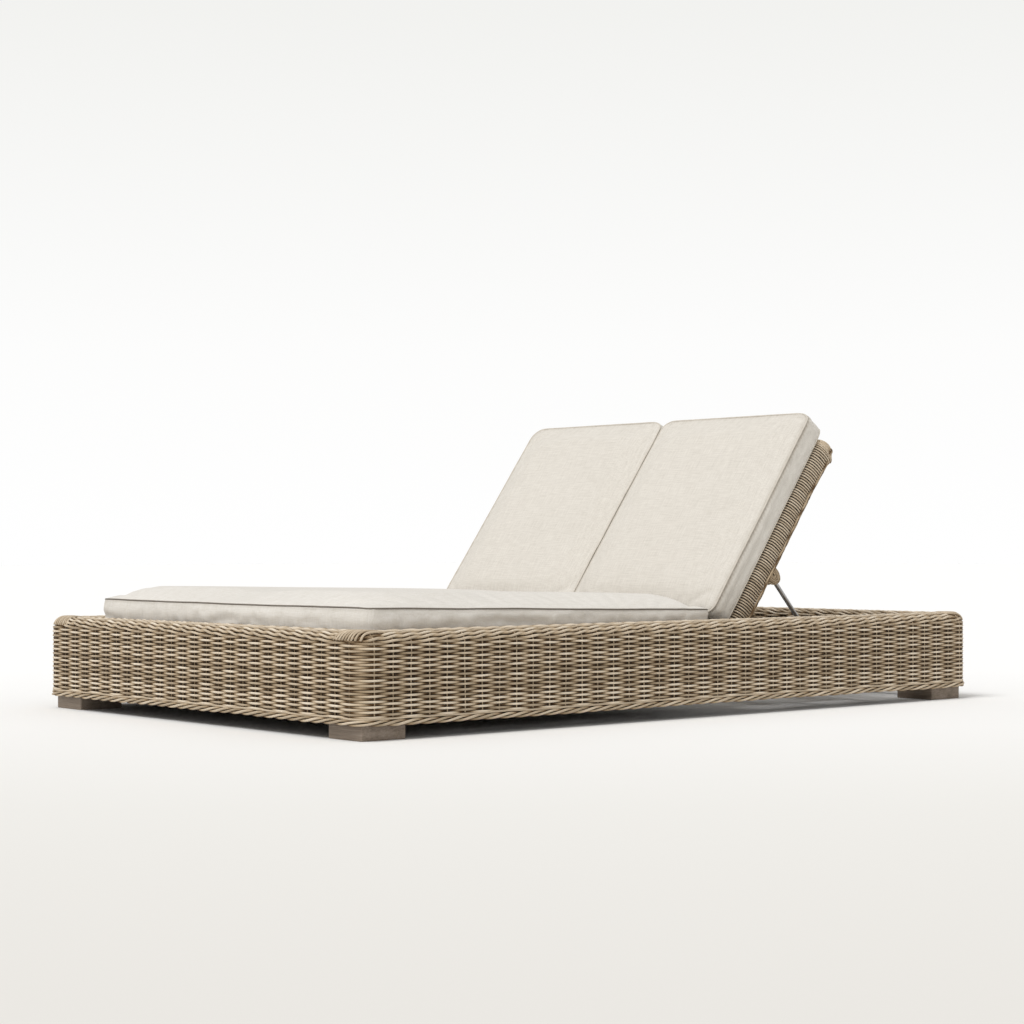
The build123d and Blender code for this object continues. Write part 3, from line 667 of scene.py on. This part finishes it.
def add_base_shade_sheet():
    """A dark sheet behind the strands: painted shade for the hollow inside of the base."""
    low_edge, skirt_edge = (0.0, BORDER_HEIGHT - 8.0, 1.0, 0.0), (RIM_WIDE, SKIRT_BOTTOM, -1.0, 0.0)
    points, normals = base_surface([low_edge, *rim_profile()[::2], skirt_edge], 2)
    faces, _ = ring_faces(*points.shape[:2])
    shade_sheet = make_object("base_shade_sheet", (points + normals * SHADE_SHEET_OFFSET).reshape(-1, 3), faces)
    dress(shade_sheet, WEAVE_SHADOW, "wicker", "base")


def twist_border():
    """Three strands twisted along the lower edge, under a plain one."""
    plan, outward = rounded_outline(
        HALF_WIDTH - BORDER_INSET, HALF_LENGTH - BORDER_INSET, CORNER_RADIUS - BORDER_INSET,
        BASE_COUNTS, BORDER_STEPS,
    )
    around = len(plan)
    side = np.column_stack([outward, np.zeros(around)])
    droop = smooth_noise(1, around, 16)[0]
    strands = Strands("base_border_rope")
    turns = 2 * math.pi * BORDER_TURNS * np.arange(around) / around
    for lay in range(BORDER_LAYS):
        phase = turns + lay * 2 * math.pi / BORDER_LAYS
        path = np.column_stack([plan, BORDER_HEIGHT - 3.5 + 1.4 * droop + 4.6 * np.sin(phase)])
        path += (1.4 + 3.0 * np.cos(phase))[:, None] * side
        # Painted shade: each lay darker where it twists in towards the wall; the plain strand above
        # is shaded a little
        proud = 0.5 + 0.45 * np.cos(phase)
        thick = BORDER_STRAND * (1 + 0.1 * smooth_noise(1, around, 60))
        tone = [0.15 + 0.2 * lay]
        strands.add(path[None], side[None], thick, closed=True, proud=proud[None], tone=tone)
    ripple = 1.2 * smooth_noise(1, around, 70)[0]
    upper = np.column_stack([plan, BORDER_HEIGHT + 6.0 + droop + ripple]) + 1.2 * side
    strands.add(
        upper[None], side[None], BORDER_UPPER_STRAND, closed=True, proud=0.8, tone=[0.45]
    )
    strands.build("base", "base_border")


def rounded_drop(distance, radius):
    """How far a rounded edge has fallen at a distance past its start."""
    over = np.clip(distance, 0, radius)
    return radius - np.sqrt(radius ** 2 - over ** 2)


def fan_path(share):
    """One strand of a fan in the corner towards +X and +Y, for a share from outside to inside."""
    run = np.linspace(0, 1, 16)
    start_x = HALF_WIDTH - 20 - share * 60
    end_x = HALF_WIDTH - 12 - share * 98
    x = start_x + (end_x - start_x) * run ** 1.8
    past_x = np.maximum(x - (HALF_WIDTH - CORNER_RADIUS), 0)
    reach = np.sqrt((CORNER_RADIUS - 5.0) ** 2 - past_x[-1] ** 2)
    end_y = HALF_LENGTH - CORNER_RADIUS + reach
    y = end_y - (1 - run) * (75 - 12 * share)
    past_y = np.maximum(y - (HALF_LENGTH - CORNER_RADIUS), 0)
    inset = CORNER_RADIUS - np.hypot(past_x, past_y)
    lift = PROUD + 0.2 + 1.2 * np.sin(math.pi * run) + random.uniform(-0.3, 0.3)
    z = CREST + lift - FAN_STRAND - rounded_drop(OUTER_ROUNDING - inset, OUTER_ROUNDING)
    # Both ends tuck under
    z[:2] -= (4.0, 1.5)
    z[-2:] -= (1.0, 3.5)
    x += smooth_noise(1, len(run), 2)[0] * 0.6
    return np.column_stack([x, y, z])


def fan_corners():
    """Strands of the side rims that run on over the end rims at each corner and turn down."""
    strands = Strands("base_corner_fans")
    for side_x, side_y in ((-1, -1), (-1, 1), (1, -1), (1, 1)):
        for k in range(FAN_COUNT):
            path = fan_path((k + 0.5) / FAN_COUNT) * (side_x, side_y, 1)
            tone = [0.3 + 0.45 * random.random()]
            outward = (0, 0.3 * side_y, 1.0)
            # Painted shade: the fan strands are all shaded a little
            strands.add(path[None], outward, FAN_STRAND, proud=0.76, tone=tone)
    strands.build("base")


# The woven backs
UP_SLOPE = np.array([0, math.cos(SLOPE), math.sin(SLOPE)])
BEHIND = np.array([0, math.sin(SLOPE), -math.cos(SLOPE)])
ACROSS = np.array([1.0, 0, 0])


def back_direction(x, up, behind):
    """A direction on a back at rest: across it, up its slope and towards its rear."""
    parts = np.broadcast_arrays(*(np.asarray(v, float)[..., None] for v in (x, up, behind)))
    return parts[0] * ACROSS + parts[1] * UP_SLOPE + parts[2] * BEHIND


def back_place(x, up, behind):
    """A point on a back at rest, up the slope from its front corner and behind it."""
    return np.array([0, *BACK_CORNER]) + back_direction(x, up, behind)


def panel_rear(up):
    """How far behind the front plane the panel reaches, with its rolled upper end."""
    return np.interp(up, ROLL_PLACES, ROLL_REARS)


def panel_rings():
    """Place up the slope, the front and rear reach and the lean of each ring of weave."""
    rings = []
    up = PANEL_START + 3.5
    straight_end = PANEL_TOP - PANEL_END_ROUND
    while up < straight_end:
        rings.append((up, PANEL_FRONT, float(panel_rear(up)), 0.0))
        up += BACK_PITCH
    turn = (up - straight_end) / PANEL_END_ROUND
    while turn < math.pi / 2:
        drawn = PANEL_END_ROUND * (1 - math.cos(turn))
        place = straight_end + PANEL_END_ROUND * math.sin(turn)
        front, rear = PANEL_FRONT + FRONT_DRAWN * drawn, ROLL_REAR - drawn
        rings.append((place, front, rear, math.sin(turn)))
        turn += END_PITCH / PANEL_END_ROUND
    front, rear = TOP_FRONT, TOP_REAR
    while rear - front > END_PITCH:
        rings.append((PANEL_TOP, front, rear, 1.0))
        front += END_PITCH
        rear -= END_PITCH
    return rings


def side_curve(share, outer):
    """X of a panel's rounded side, where share runs from -1 in front to 1 behind."""
    bow = np.clip(1 - np.abs(share) ** 2.4, 0, 1) ** (1 / 2.4)
    if outer:
        return PANEL_FAR - 17.0 + 26.0 * bow
    return PANEL_NEAR + 15.0 - 16.0 * bow


def panel_outline(front, rear):
    """A closed ring round the panel: its X, depth, stations and how far it is from the sides."""
    middle, half = (front + rear) / 2, (rear - front) / 2
    t = np.linspace(0, 1, BACK_COUNT * BACK_STEPS, endpoint=False)
    turn = (np.arange(END_STEPS) + 0.5) / END_STEPS * math.pi
    depth = np.cos(turn)
    outer_x, inner_x = side_curve(depth, True), side_curve(depth, False)
    low_x, high_x = side_curve(1.0, False), side_curve(1.0, True)
    face_x = low_x + t * (high_x - low_x)
    xs = np.concatenate([face_x, outer_x, face_x[::-1], inner_x])
    bs = np.concatenate([np.ones(len(t)), depth, -np.ones(len(t)), -depth]) * half + middle
    side_station = np.zeros(END_STEPS)
    station = np.concatenate([t, side_station + 1, 1 + t, side_station + 2]) * BACK_COUNT
    edge = np.minimum(t, 1 - t) * BACK_COUNT
    on_face = np.clip(edge / 0.8, 0, 1)
    calm = np.concatenate([on_face, side_station, on_face[::-1], side_station])
    return xs, bs, station, calm


def weave_back(side, sign):
    """Rings of weave round one back: over and under on its faces, plain wraps round its sides."""
    rings = panel_rings()
    points, normals, waves, calms = [], [], [], []
    for number, (up, front, rear, lean) in enumerate(rings):
        xs, bs, station, calm = panel_outline(front, rear)
        wave = calm * np.cos(math.pi * (station + number)) + (1 - calm) * 0.6
        out_x = np.roll(bs, 1) - np.roll(bs, -1)
        out_b = np.roll(xs, -1) - np.roll(xs, 1)
        size = np.hypot(out_x, out_b)
        flat = math.sqrt(max(0.0, 1 - lean ** 2))
        normal = back_direction(sign * out_x / size * flat, lean, out_b / size * flat)
        lift = (MIDDLE + WAVE * wave)[:, None]
        points.append(back_place(sign * xs, up, bs) + normal * lift)
        normals.append(normal)
        waves.append(wave)
        calms.append(calm)
    points, normals, waves, calms = (np.array(v) for v in (points, normals, waves, calms))
    many, around = waves.shape
    points += smooth_noise(many, around, 12)[:, :, None] * 0.6 * UP_SLOPE
    thick = WRAP_STRAND + (BACK_STRAND - WRAP_STRAND) * calms
    # Painted shade: the wraps round the sides evenly shaded, the rows on the faces dark where they
    # dip and pale where they cross over
    proud = np.where(calms < 0.1, 0.76, 0.5 + 0.5 * waves)
    tones = 0.38 + 0.5 * random.random(many)
    strands = Strands(f"back_weave_rings_{side}")
    strands.add(points, normals, thick, closed=True, proud=proud, tone=tones)
    strands.build(f"back_{side}", f"back_weave_{side}")


def add_band(trim, sign, outer, k):
    """One strand along the rear of a panel's outer or inner side, over its rolled end."""
    arc = np.linspace(0.1, 2.2, 12)
    straight = np.linspace(PANEL_START, PANEL_TOP - PANEL_END_ROUND, 48)
    inset = BAND_INSET + BAND_PITCH * k
    bend = PANEL_END_ROUND - inset
    up = np.concatenate([straight, PANEL_TOP - PANEL_END_ROUND + bend * np.sin(arc)])
    behind = np.concatenate([panel_rear(straight) - inset, TOP_REAR + bend * np.cos(arc)])
    wander = smooth_noise(1, len(up), 16)[0]
    share = np.clip((behind - PANEL_MIDDLE) / PANEL_HALF, -0.95, 0.95)
    over = 1.6 + 0.5 * k + 0.6 * smooth_noise(1, len(up), 20)[0]
    x = side_curve(share, outer) + (over if outer else 0.3)
    path = back_place(sign * x, up, behind + 1.1 * wander)
    # Painted shade that comes and goes along the band
    proud = np.clip(0.4 + 0.3 * smooth_noise(1, len(up), 30), 0.2, 1)
    outward = sign * (ACROSS if outer else -ACROSS)
    tone = [0.2 + 0.4 * random.random()]
    trim.add(path[None], outward, BAND_STRAND, proud=proud, tone=tone)


def trim_back(side, sign):
    """A back's stakes, the strand along its top and the bands along the rear of its sides."""
    trim = Strands(f"back_weave_trim_{side}")
    ups = np.linspace(PANEL_START - 1, PANEL_TOP - 12, 50)
    low_x, high_x = side_curve(1.0, False), side_curve(1.0, True)
    for k in range(1, BACK_COUNT):
        x = low_x + k * (high_x - low_x) / BACK_COUNT
        lean = smooth_noise(1, len(ups), 3)[0]
        path = back_place(sign * (x + lean), ups, panel_rear(ups) + MIDDLE)
        # Painted shade: each stake is shaded a little
        trim.add(path[None], BEHIND, STAKE, proud=0.66, tone=[0.6])
    across = sign * np.linspace(low_x, high_x, 40)
    path = back_place(across, PANEL_TOP + MIDDLE - 1.0, (TOP_FRONT + TOP_REAR) / 2)
    # Painted shade: the top strand is shaded a little
    trim.add(path[None], UP_SLOPE, TOP_STRAND, proud=0.6, tone=[0.5])
    for outer in (True, False):
        for k in range(BAND_STRANDS):
            add_band(trim, sign, outer, k)
    trim.build(f"back_{side}")


def wrap_knuckles(side, sign):
    """Strands wrapped in arcs over the cheeks that the prop turns between."""
    wraps = Strands(f"bail_knuckle_wraps_{side}")
    turn = np.linspace(-0.15, math.pi + 0.15, 22)
    root = 7.0
    for face_x, away, thick in CHEEKS:
        # The outer wraps stand out where they show
        stand_out = 2.6 if face_x == PANEL_FAR else 0.0
        arcs = [(4.5, -1.8), (9.5, -2.2), (14.5, -2.0), (19.0, -1.2), (KNUCKLE_HALF + 1.0, 1.4)]
        arcs += [(KNUCKLE_HALF + 1.6, thick * 0.6), (KNUCKLE_HALF + 1.0, thick)]
        for half, depth in arcs:
            reach = KNUCKLE_REACH * min(1.0, half / KNUCKLE_HALF) + 0.4
            up = KNUCKLE_UP + half * np.cos(turn) + 0.6 * smooth_noise(1, len(turn), 3)[0]
            behind = PANEL_REAR - root + (reach + root) * np.sin(turn)
            x = face_x + away * (0.2 - depth + (stand_out if depth < 0 else 0.0))
            path = back_place(sign * x, up, behind)
            tone = [0.15 + 0.5 * random.random()]
            # Painted shade: the knuckle wraps are shaded a little
            wraps.add(path[None], sign * away * ACROSS, KNUCKLE_STRAND, proud=0.62, tone=tone)
    wraps.build(f"back_{side}")


def add_back_shade_sheet(side, sign):
    """A dark sheet behind a back's strands: painted shade for the hollow inside of the back."""
    rings = panel_rings()
    inset = -0.9 * SHADE_SHEET_OFFSET
    low, high = PANEL_NEAR + inset, PANEL_FAR - inset - 1.0
    xs = np.array([low, high, high, low])
    shell = []
    for up, front, rear, lean in rings[::4] + [rings[-1]]:
        middle, half = (front + rear) / 2, max((rear - front) / 2 - inset, 0.5)
        bs = middle + half * np.array([1, 1, -1, -1])
        shell.append(back_place(sign * xs, up - 10.0 * lean, bs))
    faces, index = ring_faces(len(shell), 4)
    faces += [index[0, ::-1].tolist(), index[-1].tolist()]
    if sign > 0:
        faces = [face[::-1] for face in faces]
    shade_sheet = make_object(f"back_liner_{side}", np.concatenate(shell), faces, smooth=False)
    dress(shade_sheet, WEAVE_SHADOW, "wicker", f"back_{side}")


class Cushion:
    """A cushion's form in its own terms: x across, y along its length, z above its base."""

    # How far in from the outline, and at what share of the seam's height, each ring lies
    BOXING = ((60, 0), (24, 0), (8, 0), (2.2, 0.015), (0.0, 0.06), (-1.0, 0.28), (-1.6, 0.5),
              (-1.0, 0.74), (0.0, 0.95))
    TOP_INSETS = (0.6, 3.5, 9.0, 18.0, 34.0, 60.0, 95.0, 150.0)

    def __init__(self, name, body, node, sign, low, high, edges, crown, split, linen, piping):
        self.name, self.body, self.node = name, body, node
        self.sign = sign
        self.low, self.high = np.array(low), np.array(high)
        self.edges = edges
        self.crown = crown
        self.split = split
        self.linen, self.piping = linen, piping
        self.tilted = body != "base"
        if self.tilted:
            self.along, self.up = UP_SLOPE, -BEHIND
            self.origin = np.array([0, *BACK_CORNER]) - BACK_CUSHION_THICK * self.up
        else:
            self.along, self.up = np.array([0, 1.0, 0]), np.array([0, 0, 1.0])
            self.origin = np.array([0, 0, DECK_TOP])
        self.outline = self.make_outline()
        edge = np.roll(self.outline, -1, axis=0) - np.roll(self.outline, 1, axis=0)
        self.outward = unit(np.column_stack([edge[:, 1], -edge[:, 0]]))

    def make_outline(self, spacing=12.0, radius=30.0):
        """The rounded plan, anticlockwise; the seat's sides are slightly hollow."""
        drawn_in = 0.0 if self.tilted else 3.0
        (x0, y0), (x1, y1) = self.low + radius, self.high - radius
        centres = np.array([(x1, y0), (x1, y1), (x0, y1), (x0, y0)])
        points = []
        for k in range(4):
            turn = math.radians(90 * (k - 1)) + np.linspace(0, math.pi / 2, 8, endpoint=False)
            arc = np.column_stack([np.cos(turn), np.sin(turn)])
            points.append(centres[k] + radius * arc)
            normal = np.array([math.cos(math.pi / 2 * k), math.sin(math.pi / 2 * k)])
            start = centres[k] + radius * normal
            end = centres[(k + 1) % 4] + radius * normal
            steps = max(2, int(np.linalg.norm(end - start) / spacing))
            t = np.arange(steps)[:, None] / steps
            points.append(start + t * (end - start) - drawn_in * np.sin(math.pi * t) * normal)
        return np.concatenate(points)

    def edge_height(self, plan):
        """Height of the seam round the top at places in the plan."""
        share = (plan[:, 1] - self.low[1]) / (self.high[1] - self.low[1])
        return self.edges[0] + np.clip(share, 0, 1) * (self.edges[1] - self.edges[0])

    def top_height(self, plan):
        """Height of the crowned top at places in the plan."""
        inside = np.minimum(plan - self.low, self.high - plan)
        roll = (100.0, 110.0) if self.split else (170.0, 120.0)
        rise = np.sin(np.clip(inside / roll, 0, 1) * math.pi / 2).prod(axis=1)
        if self.split:
            rise *= 1 - 0.32 * np.exp(-(plan[:, 0] / 110.0) ** 2)
        return self.edge_height(plan) + self.crown * rise

    def to_world(self, local):
        """Points of the cushion in the frame of the whole object."""
        across = local[:, :1] * self.sign * ACROSS
        return self.origin + across + local[:, 1:2] * self.along + local[:, 2:3] * self.up

    def to_local(self, world):
        """The reverse of to_world."""
        rest = world - self.origin
        return np.column_stack([rest[:, 0] * self.sign, rest @ self.along, rest @ self.up])

    def shell(self):
        """A closed cover of rings: base, boxing and top."""
        layers = []
        for inset, share in self.BOXING:
            plan = self.outline - self.outward * inset
            layers.append(np.column_stack([plan, share * (self.edge_height(plan) - 2.0)]))
        middle = (self.low + self.high) / 2
        half = (self.high - self.low) / 2
        for inset in self.TOP_INSETS:
            plan = self.outline - self.outward * inset
            if inset > 26:
                plan = middle + (self.outline - middle) * (1 - inset / half)
            height = self.edge_height(plan) if inset < 2 else self.top_height(plan)
            layers.append(np.column_stack([plan, height]))
        faces, index = ring_faces(len(layers), len(self.outline))
        faces += [index[0, ::-1].tolist(), index[-1].tolist()]
        if self.sign < 0:
            faces = [face[::-1] for face in faces]
        return make_object(self.name, self.to_world(np.concatenate(layers)), faces)

    def seam_distance(self, local):
        """How far each point lies from the seam round the top."""
        seam = np.column_stack([self.outline, self.edge_height(self.outline)])
        closed = np.vstack([seam, seam[:1]])
        t = np.arange(4)[:, None, None] / 4
        fine = (closed[:-1] * (1 - t) + closed[1:] * t).reshape(-1, 3)
        tree = KDTree(len(fine))
        for number, point in enumerate(fine):
            tree.insert(point, number)
        tree.balance()
        near = np.full(len(local), 99.0)
        for number in np.flatnonzero(local[:, 2] > 25.0):
            near[number] = tree.find(local[number])[2]
        return near

    def folds(self, local):
        """How deep the boxing is creased at each point."""
        x, y, z = local.T
        run = np.where(np.abs(y - self.low[1]) < 40, x, y + 700)
        level = 0.52 * self.edges[1] + 6 * np.sin(run / 170.0) + 3 * np.sin(run / 61.0 + 1.0)
        strength = 0.6 + 0.4 * np.sin(run / 130.0 + 0.6)
        bulge = 2.2 * np.exp(-((z - level - 16.0) / 9.0) ** 2)
        return FOLD_DEPTH * strength * np.exp(-((z - level) / 7.0) ** 2) - bulge


def remesh(obj, size):
    """Rebuilds a mesh from even voxels."""
    modifier = obj.modifiers.new("Remesh", "REMESH")
    modifier.mode = "VOXEL"
    modifier.voxel_size = size * MM
    shown = obj.evaluated_get(bpy.context.evaluated_depsgraph_get())
    mesh = bpy.data.meshes.new_from_object(shown)
    old = obj.data
    obj.modifiers.clear()
    obj.data = mesh
    bpy.data.meshes.remove(old)


def simulate(obj, pinned, cap):
    """Blows the cover up with the cloth solver and keeps each point within cap of its start."""
    start = get_points(obj)
    group = obj.vertex_groups.new(name="pin")
    group.add([int(i) for i in np.flatnonzero(pinned)], 1.0, "REPLACE")
    cloth = obj.modifiers.new("Cloth", "CLOTH")
    settings = cloth.settings
    settings.quality = 4
    settings.mass = 0.25
    settings.tension_stiffness = 18
    settings.compression_stiffness = 12
    settings.shear_stiffness = 8
    settings.bending_stiffness = 1.2
    settings.use_pressure = True
    settings.uniform_pressure_force = 4.0
    settings.vertex_group_mass = "pin"
    settings.shrink_min = -0.012
    settings.effector_weights.gravity = 0
    cloth.point_cache.frame_start = 1
    cloth.point_cache.frame_end = 20
    for number in range(1, 21):
        bpy.context.scene.frame_set(number)
    shown = obj.evaluated_get(bpy.context.evaluated_depsgraph_get())
    flat = np.empty(3 * len(shown.data.vertices), np.float32)
    shown.data.vertices.foreach_get("co", flat)
    move = flat.reshape(-1, 3) / MM - start
    obj.modifiers.remove(cloth)
    obj.vertex_groups.clear()
    bpy.context.scene.frame_set(1)
    far = np.linalg.norm(move, axis=1, keepdims=True)
    put_points(obj, start + move * np.minimum(1, cap / np.maximum(far, 1e-9)))


def crease(cushion, local):
    """Presses the folds into the boxing."""
    boxing = (local[:, 2] > 4.0) & (local[:, 2] < cushion.edge_height(local[:, :2]) - 8)
    middle = (cushion.low + cushion.high) / 2
    plan = local[:, :2]
    to_side = np.minimum(np.abs(plan - cushion.low), np.abs(plan - cushion.high))
    nearer_x = (to_side[:, 0] < to_side[:, 1])[:, None]
    inward = np.where(nearer_x, [1.0, 0.0], [0.0, 1.0]) * np.sign(middle - plan)
    local[:, :2] += np.where(boxing, cushion.folds(local), 0)[:, None] * inward


def soften(obj):
    """Smooths a cover and divides it once."""
    obj.data.polygons.foreach_set("use_smooth", np.full(len(obj.data.polygons), True))
    smooth = obj.modifiers.new("Smooth", "SMOOTH")
    smooth.factor = 0.5
    smooth.iterations = 3
    finer = obj.modifiers.new("Subdivision", "SUBSURF")
    finer.levels = 1
    finer.render_levels = 1


def build_cushion(cushion, seed):
    """One cushion: its blown-up cover and its piping."""
    obj = cushion.shell()
    remesh(obj, VOXEL)
    local = cushion.to_local(get_points(obj))
    inside = np.minimum(local[:, :2] - cushion.low, cushion.high - local[:, :2]).min(axis=1) > 34
    inside &= local[:, 2] > 0.6 * min(cushion.edges)
    local[inside, 2] = cushion.top_height(local[inside, :2])
    near_seam = cushion.seam_distance(local)
    crease(cushion, local)
    put_points(obj, cushion.to_world(local))
    simulate(obj, (local[:, 2] < 4.0) | (near_seam < 6.0), CUSHION_CAP)
    local = cushion.to_local(get_points(obj))
    local[:, 2] = np.maximum(local[:, 2], 0.2)
    # A back cushion keeps clear of the other one and of the deck below it
    slack = np.array([0.5, 0.0]) if cushion.tilted else 8.0
    local[:, :2] = np.clip(local[:, :2], cushion.low - slack, cushion.high + 8.0)
    put_points(obj, cushion.to_world(local))
    soften(obj)
    set_vector(obj, "cloth", local * MM + np.array([seed * 3.1, seed * 1.7, 0]))
    # Painted shade in a groove just below the top seam, strong on the backs and faint on the seat
    below = cushion.edge_height(local[:, :2]) - local[:, 2]
    seam_shade = np.exp(-((below - 5.0) / 4.0) ** 2) * (near_seam < 20)
    if cushion.tilted:
        seam_shade *= local[:, 0] > 30
    set_float(obj, "seam", seam_shade * (0.85 if cushion.tilted else 0.25))
    dress(obj, cushion.linen, "linen", cushion.body, cushion.node)
    pipe(cushion, obj)


def pipe(cushion, cover):
    """Piping round the top seam, and round the rear seam of a back cushion."""
    bpy.context.view_layer.update()
    tree = BVHTree.FromObject(cover, bpy.context.evaluated_depsgraph_get())
    seam = cushion.edge_height(cushion.outline) - 0.5
    runs = [("piping", seam, 2.3 if cushion.tilted else 1.9)]
    if cushion.tilted:
        runs.append(("rear_piping", np.full(len(seam), 3.5), 2.0))
    for label, height, radius in runs:
        height = height + smooth_noise(1, len(height), 9)[0] * 1.3
        places = cushion.to_world(np.column_stack([cushion.outline, height])) * MM
        found = [tree.find_nearest(Vector(place))[:2] for place in places]
        normals = np.array([normal for _, normal in found])
        path = np.array([hit for hit, _ in found]) / MM + 0.45 * radius * normals
        for _ in range(2):
            path = (np.roll(path, 1, axis=0) + 2 * path + np.roll(path, -1, axis=0)) / 4
        if cushion.sign < 0:
            path, normals = path[::-1], normals[::-1]
        strands = Strands(f"{cushion.name}_{label}", 8)
        strands.add(path[None], normals[None], radius, closed=True)
        piping = make_object(strands.name, np.concatenate(strands.verts), strands.faces)
        set_vector(piping, "cloth", np.concatenate(strands.grain))
        dress(piping, cushion.piping, "linen", cushion.body)


def build_cushions():
    """The one wide seat cushion and the two back cushions."""
    swell = CUSHION_SWELL
    build_cushion(Cushion(
        "seat_cushion_cover", "base", "seat_cushion", 1, (-604.0, -994.0), (604.0, 141.0),
        (69.0, 46.0), 33.0 - swell, True, SEAT_LINEN, SEAT_PIPING,
    ), 0)
    edges = (BACK_CUSHION_THICK, BACK_CUSHION_THICK)
    for number, (side, sign) in enumerate(SIDES.items()):
        build_cushion(Cushion(
            f"back_cushion_cover_{side}", f"back_{side}", f"back_cushion_{side}", sign, (1.0, 0.0),
            (577.0, 676.0), edges, 23.0 - swell, False, BACK_LINEN_PAINTED_SHADE, BACK_PIPING,
        ), number + 1)


def lay_floor():
    """A pale floor, with painted shade that greys it towards the camera."""
    size = 40000.0
    verts = [(-size, -size, 0), (size, -size, 0), (size, size, 0), (-size, size, 0)]
    floor = make_object("studio_floor", verts, [[0, 1, 2, 3]], smooth=False)
    n = Nodes("studio_floor")
    dot = n.new("ShaderNodeVectorMath", operation="DOT_PRODUCT")
    n.feed(dot.inputs[0], n.new("ShaderNodeNewGeometry").outputs["Position"])
    dot.inputs[1].default_value = (-0.7565, 0.654, 0)
    colour = n.ramp(n.span(dot.outputs["Value"], -13.0, 1.5), [
        (0.0, (0.98, 0.98, 0.975)),
        (0.4, (0.9, 0.89, 0.87)),
        (0.58, (0.79, 0.77, 0.735)),
        (0.727, (0.85, 0.84, 0.81)),
        (0.84, (0.93, 0.925, 0.91)),
        (1.0, (0.98, 0.98, 0.975)),
    ])
    floor.data.materials.append(n.finish(color=colour, roughness=0.9, specular=0.0))


def light_world():
    """A broad sky that lights the object, and a backdrop for camera and mirror rays, white at the
    horizon with painted shade greying it upwards.
    """
    n = Nodes("studio", bpy.data.worlds)
    bpy.context.scene.world = n.owner
    n.tree.nodes.clear()
    path = n.new("ShaderNodeLightPath")
    seen = path.outputs["Is Camera Ray"]
    for ray in ("Is Glossy Ray", "Is Transmission Ray"):
        either = n.new("ShaderNodeMath", operation="MAXIMUM")
        n.feed(either.inputs[0], seen)
        n.feed(either.inputs[1], path.outputs[ray])
        seen = either.outputs[0]
    split = n.new("ShaderNodeSeparateXYZ")
    n.feed(split.inputs[0], n.new("ShaderNodeTexCoord").outputs["Generated"])
    # Painted shade: the backdrop greys upwards from the horizon
    backdrop = n.ramp(split.outputs["Z"], [
        (0.0, (1.0, 1.0, 1.0)),
        (0.09, (0.98, 0.98, 0.975)),
        (0.24, (0.89, 0.89, 0.87)),
    ])
    lit = n.new("ShaderNodeBackground")
    n.feed(lit.inputs["Color"], (1.0, 0.99, 0.975))
    n.feed(lit.inputs["Strength"], 0.55)
    shown = n.new("ShaderNodeBackground")
    n.feed(shown.inputs["Color"], backdrop)
    mix = n.new("ShaderNodeMixShader")
    for socket, source in zip(mix.inputs, (seen, lit.outputs[0], shown.outputs[0])):
        n.feed(socket, source)
    n.feed(n.new("ShaderNodeOutputWorld").inputs["Surface"], mix.outputs[0])


def light_studio():
    """A high soft key from the foot end and a weak fill from the right."""
    for name, direction, strength, spread in (
        ("key", (-0.1, 0.69, -1.0), 1.76, 0.5),
        ("fill", (-1.0, 0.2, -0.45), 0.18, 1.2),
    ):
        sun = bpy.data.lights.new(name, "SUN")
        sun.energy = strength
        sun.angle = spread
        aim(add_object(name, sun), direction)
    bpy.context.scene.view_settings.view_transform = "Standard"


def place_camera():
    """The photograph's viewpoint: low, off the near corner of the foot end."""
    image_size, focal_length, horizon_drop = 1024.0, 2164.0, 34.0
    sensor = 36.0
    data = bpy.data.cameras.new("camera")
    data.sensor_width = sensor
    data.lens = focal_length / image_size * sensor
    data.shift_y = horizon_drop / image_size
    data.clip_end = 200
    camera = add_object("camera", data)
    camera.location = (4.575, -3.993, 0.4392)
    turn = math.radians(49.153)
    aim(camera, (-math.sin(turn), math.cos(turn), 0))
    bpy.context.scene.camera = camera


place_camera()
finish_cad_nodes()
add_base_shade_sheet()
weave_base()
twist_border()
fan_corners()
for side, sign in SIDES.items():
    weave_back(side, sign)
    trim_back(side, sign)
    wrap_knuckles(side, sign)
    add_back_shade_sheet(side, sign)
build_cushions()
lay_floor()
light_world()
light_studio()
